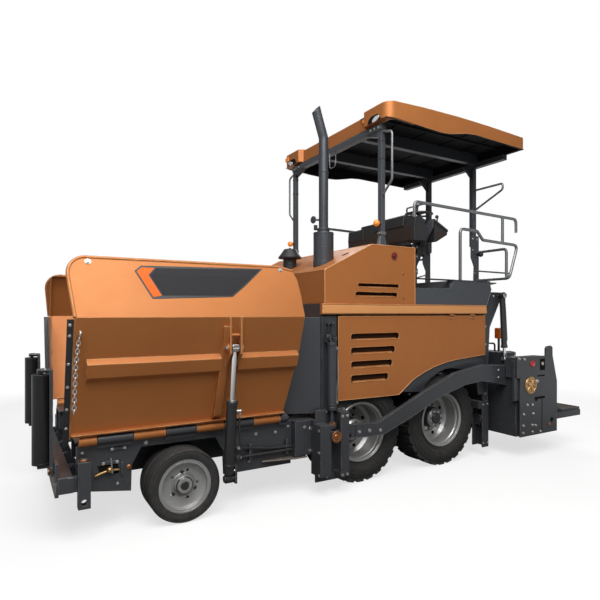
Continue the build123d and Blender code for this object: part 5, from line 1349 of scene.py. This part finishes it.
def make_roof_inside():
    liner = Shape().boxes((-2.056, -0.143, -0.997, 0.997, 3.584, 3.5885))
    inner = [(x, z + 0.001) for x, z in ROOF_SKIRT if -2.08 < x < -0.1]
    outline = [(-0.143, 3.585), (-0.143, 3.474), *inner, (-2.056, 3.489), (-2.056, 3.585)]
    for s in (-1, 1):
        liner.prism(outline, "y", s * 0.9965, s * 0.999)
        for (x0, z0), (x1, z1) in zip(ROOF_SKIRT, ROOF_SKIRT[1:]):
            strip = [(x0, z0 - 0.0012), (x1, z1 - 0.0012), (x1, z1 + 0.0005), (x0, z0 + 0.0005)]
            start, end = sorted((s * 0.999, s * (1.0255 if x0 < -0.2 else 0.99)))
            liner.prism(strip, "y", start, end)
    liner.boxes((-2.059, -2.0565, -0.997, 0.997, 3.49, 3.585), (-0.143, -0.1405, -0.997, 0.997, 3.475, 3.585),
                (-2.0865, -2.059, -1.02, 1.02, 3.486, 3.4872))
    add_piece("canopy_liner", "root", liner, LINER)
    ribs = Shape()
    for x in (-0.5, -0.93, -1.36, -1.72):
        ribs.boxes((x - 0.012, x + 0.012, -0.96, 0.96, 3.574, 3.584))
    ribs.boxes(*((-2.03, -0.17, y - 0.016, y + 0.016, 3.566, 3.584) for y in (-0.7, 0.7)))
    add_piece("canopy_ribs", "root", ribs, LINER, 0.003)


def make_post_fittings():
    clamps, feet = Shape(), Shape()
    for z, y in product((3.299, 3.121), (-POST_Y, POST_Y)):
        clamps.boxes((-0.1535, -0.0965, y - 0.0285, y + 0.0285, z - 0.007, z + 0.007))
    for s in (-1, 1):
        y, rear_y = s * POST_Y, s * REAR_POST_Y
        gusset = [(0.62, 3.401), (0.83, 3.401), (0.83, 3.335), (0.79, 3.345)]
        clamps.prism([(s * y1, z) for y1, z in gusset], "x", -0.155, -0.096)
        clamps.boxes((-0.18, -0.07, y - 0.055, y + 0.055, 2.2555, 2.2635),
                     (-1.953, -1.948, rear_y - 0.06, rear_y + 0.06, 3.385, 3.47))
        clamps.prism([(-1.952, 3.401), (-1.8, 3.401), (-1.952, 3.26)], "y", rear_y - 0.005, rear_y + 0.005)
        for x, toe in ((-0.0995, -0.075), (-0.1505, -0.175)):
            feet.prism([(x, 2.262), (toe, 2.262), (x, 2.36)], "y", y - 0.02, y + 0.02)
        feet.boxes((-0.156, -0.094, y - 0.031, y + 0.031, 2.37, 2.4))
    add_piece("canopy_clamps", "root", clamps, SLATE, 0.0015)
    add_piece("front_post_feet", "root", feet, TUBE, 0.0015)
    rows = [((x, s * (POST_Y + d), 2.2635), Z, 0.009)
            for s, x, d in product((-1, 1), (-0.165, -0.085), (-0.04, 0.04))]
    rows += [((-0.0905, s * y, 3.43), X, 0.01) for s, y in product((-1, 1), (0.72, 0.78, 0.84))]
    rows += [((-0.093, s * POST_Y, 2.385), X, 0.008) for s in (-1, 1)]
    add_bolts("canopy_bolts", "root", rows)


def make_roof_lamps():
    niches, lamps, caps, seams = Shape(), Shape(), Shape(), Shape()
    arch = [(0.715, 3.4785), (0.735, 3.522), (0.775, 3.545), (0.86, 3.548), (0.905, 3.525), (0.925, 3.4785)]
    amber = Shape().boxes((-0.1095, -0.085, 0.59, 0.648, 3.545, 3.59),
                          (-0.0545, -0.0465, -0.985, -0.905, 3.545, 3.598))
    caps.boxes((-0.1095, -0.08, 0.56, 0.64, 3.588, 3.596))
    turns = [2 * math.pi * k / 20 for k in range(20)]
    skirt = [(x, z + 0.001) for x, z in ROOF_SKIRT if -2.0 < x < -0.2]
    for s in (-1, 1):
        niches.prism([(s * y, z) for y, z in arch], "x", -0.0545, -0.053)
        oval = [(s * 0.852 + 0.056 * math.cos(a), 3.5 + 0.024 * math.sin(a) + s * 0.01 * math.cos(a))
                for a in turns]
        lamps.prism(oval, "x", -0.0535, -0.045)
        amber.ball((-0.052, s * 0.862, 2.478), 0.034, 12, 20)
        caps.rod((-0.101, s * 0.86, 2.478), (-0.072, s * 0.861, 2.478), 0.016)
        seams.side_tube(s * 1.0285, skirt, 0.003)
    add_piece("lamp_niches", "root", niches, HOLLOW)
    add_piece("canopy_lamps", "root", lamps, LENS, 0.003)
    add_piece("amber_signals", "root", amber, AMBER, 0.002)
    add_piece("signal_bases", "root", caps, BLACK, 0.001)
    wire = Shape().tube([(-0.125, 0.06, 3.402), (-0.112, 0.06, 3.245), (-0.085, -0.01, 3.225),
                         (-0.085, -0.01, 3.402)], 0.0045, 8, 0.03)
    add_piece("canopy_wire", "root", wire, TUBE)
    add_piece("canopy_skirt_roll", "root", seams, COPPER)


make_roof_inside()
make_post_fittings()
make_roof_lamps()
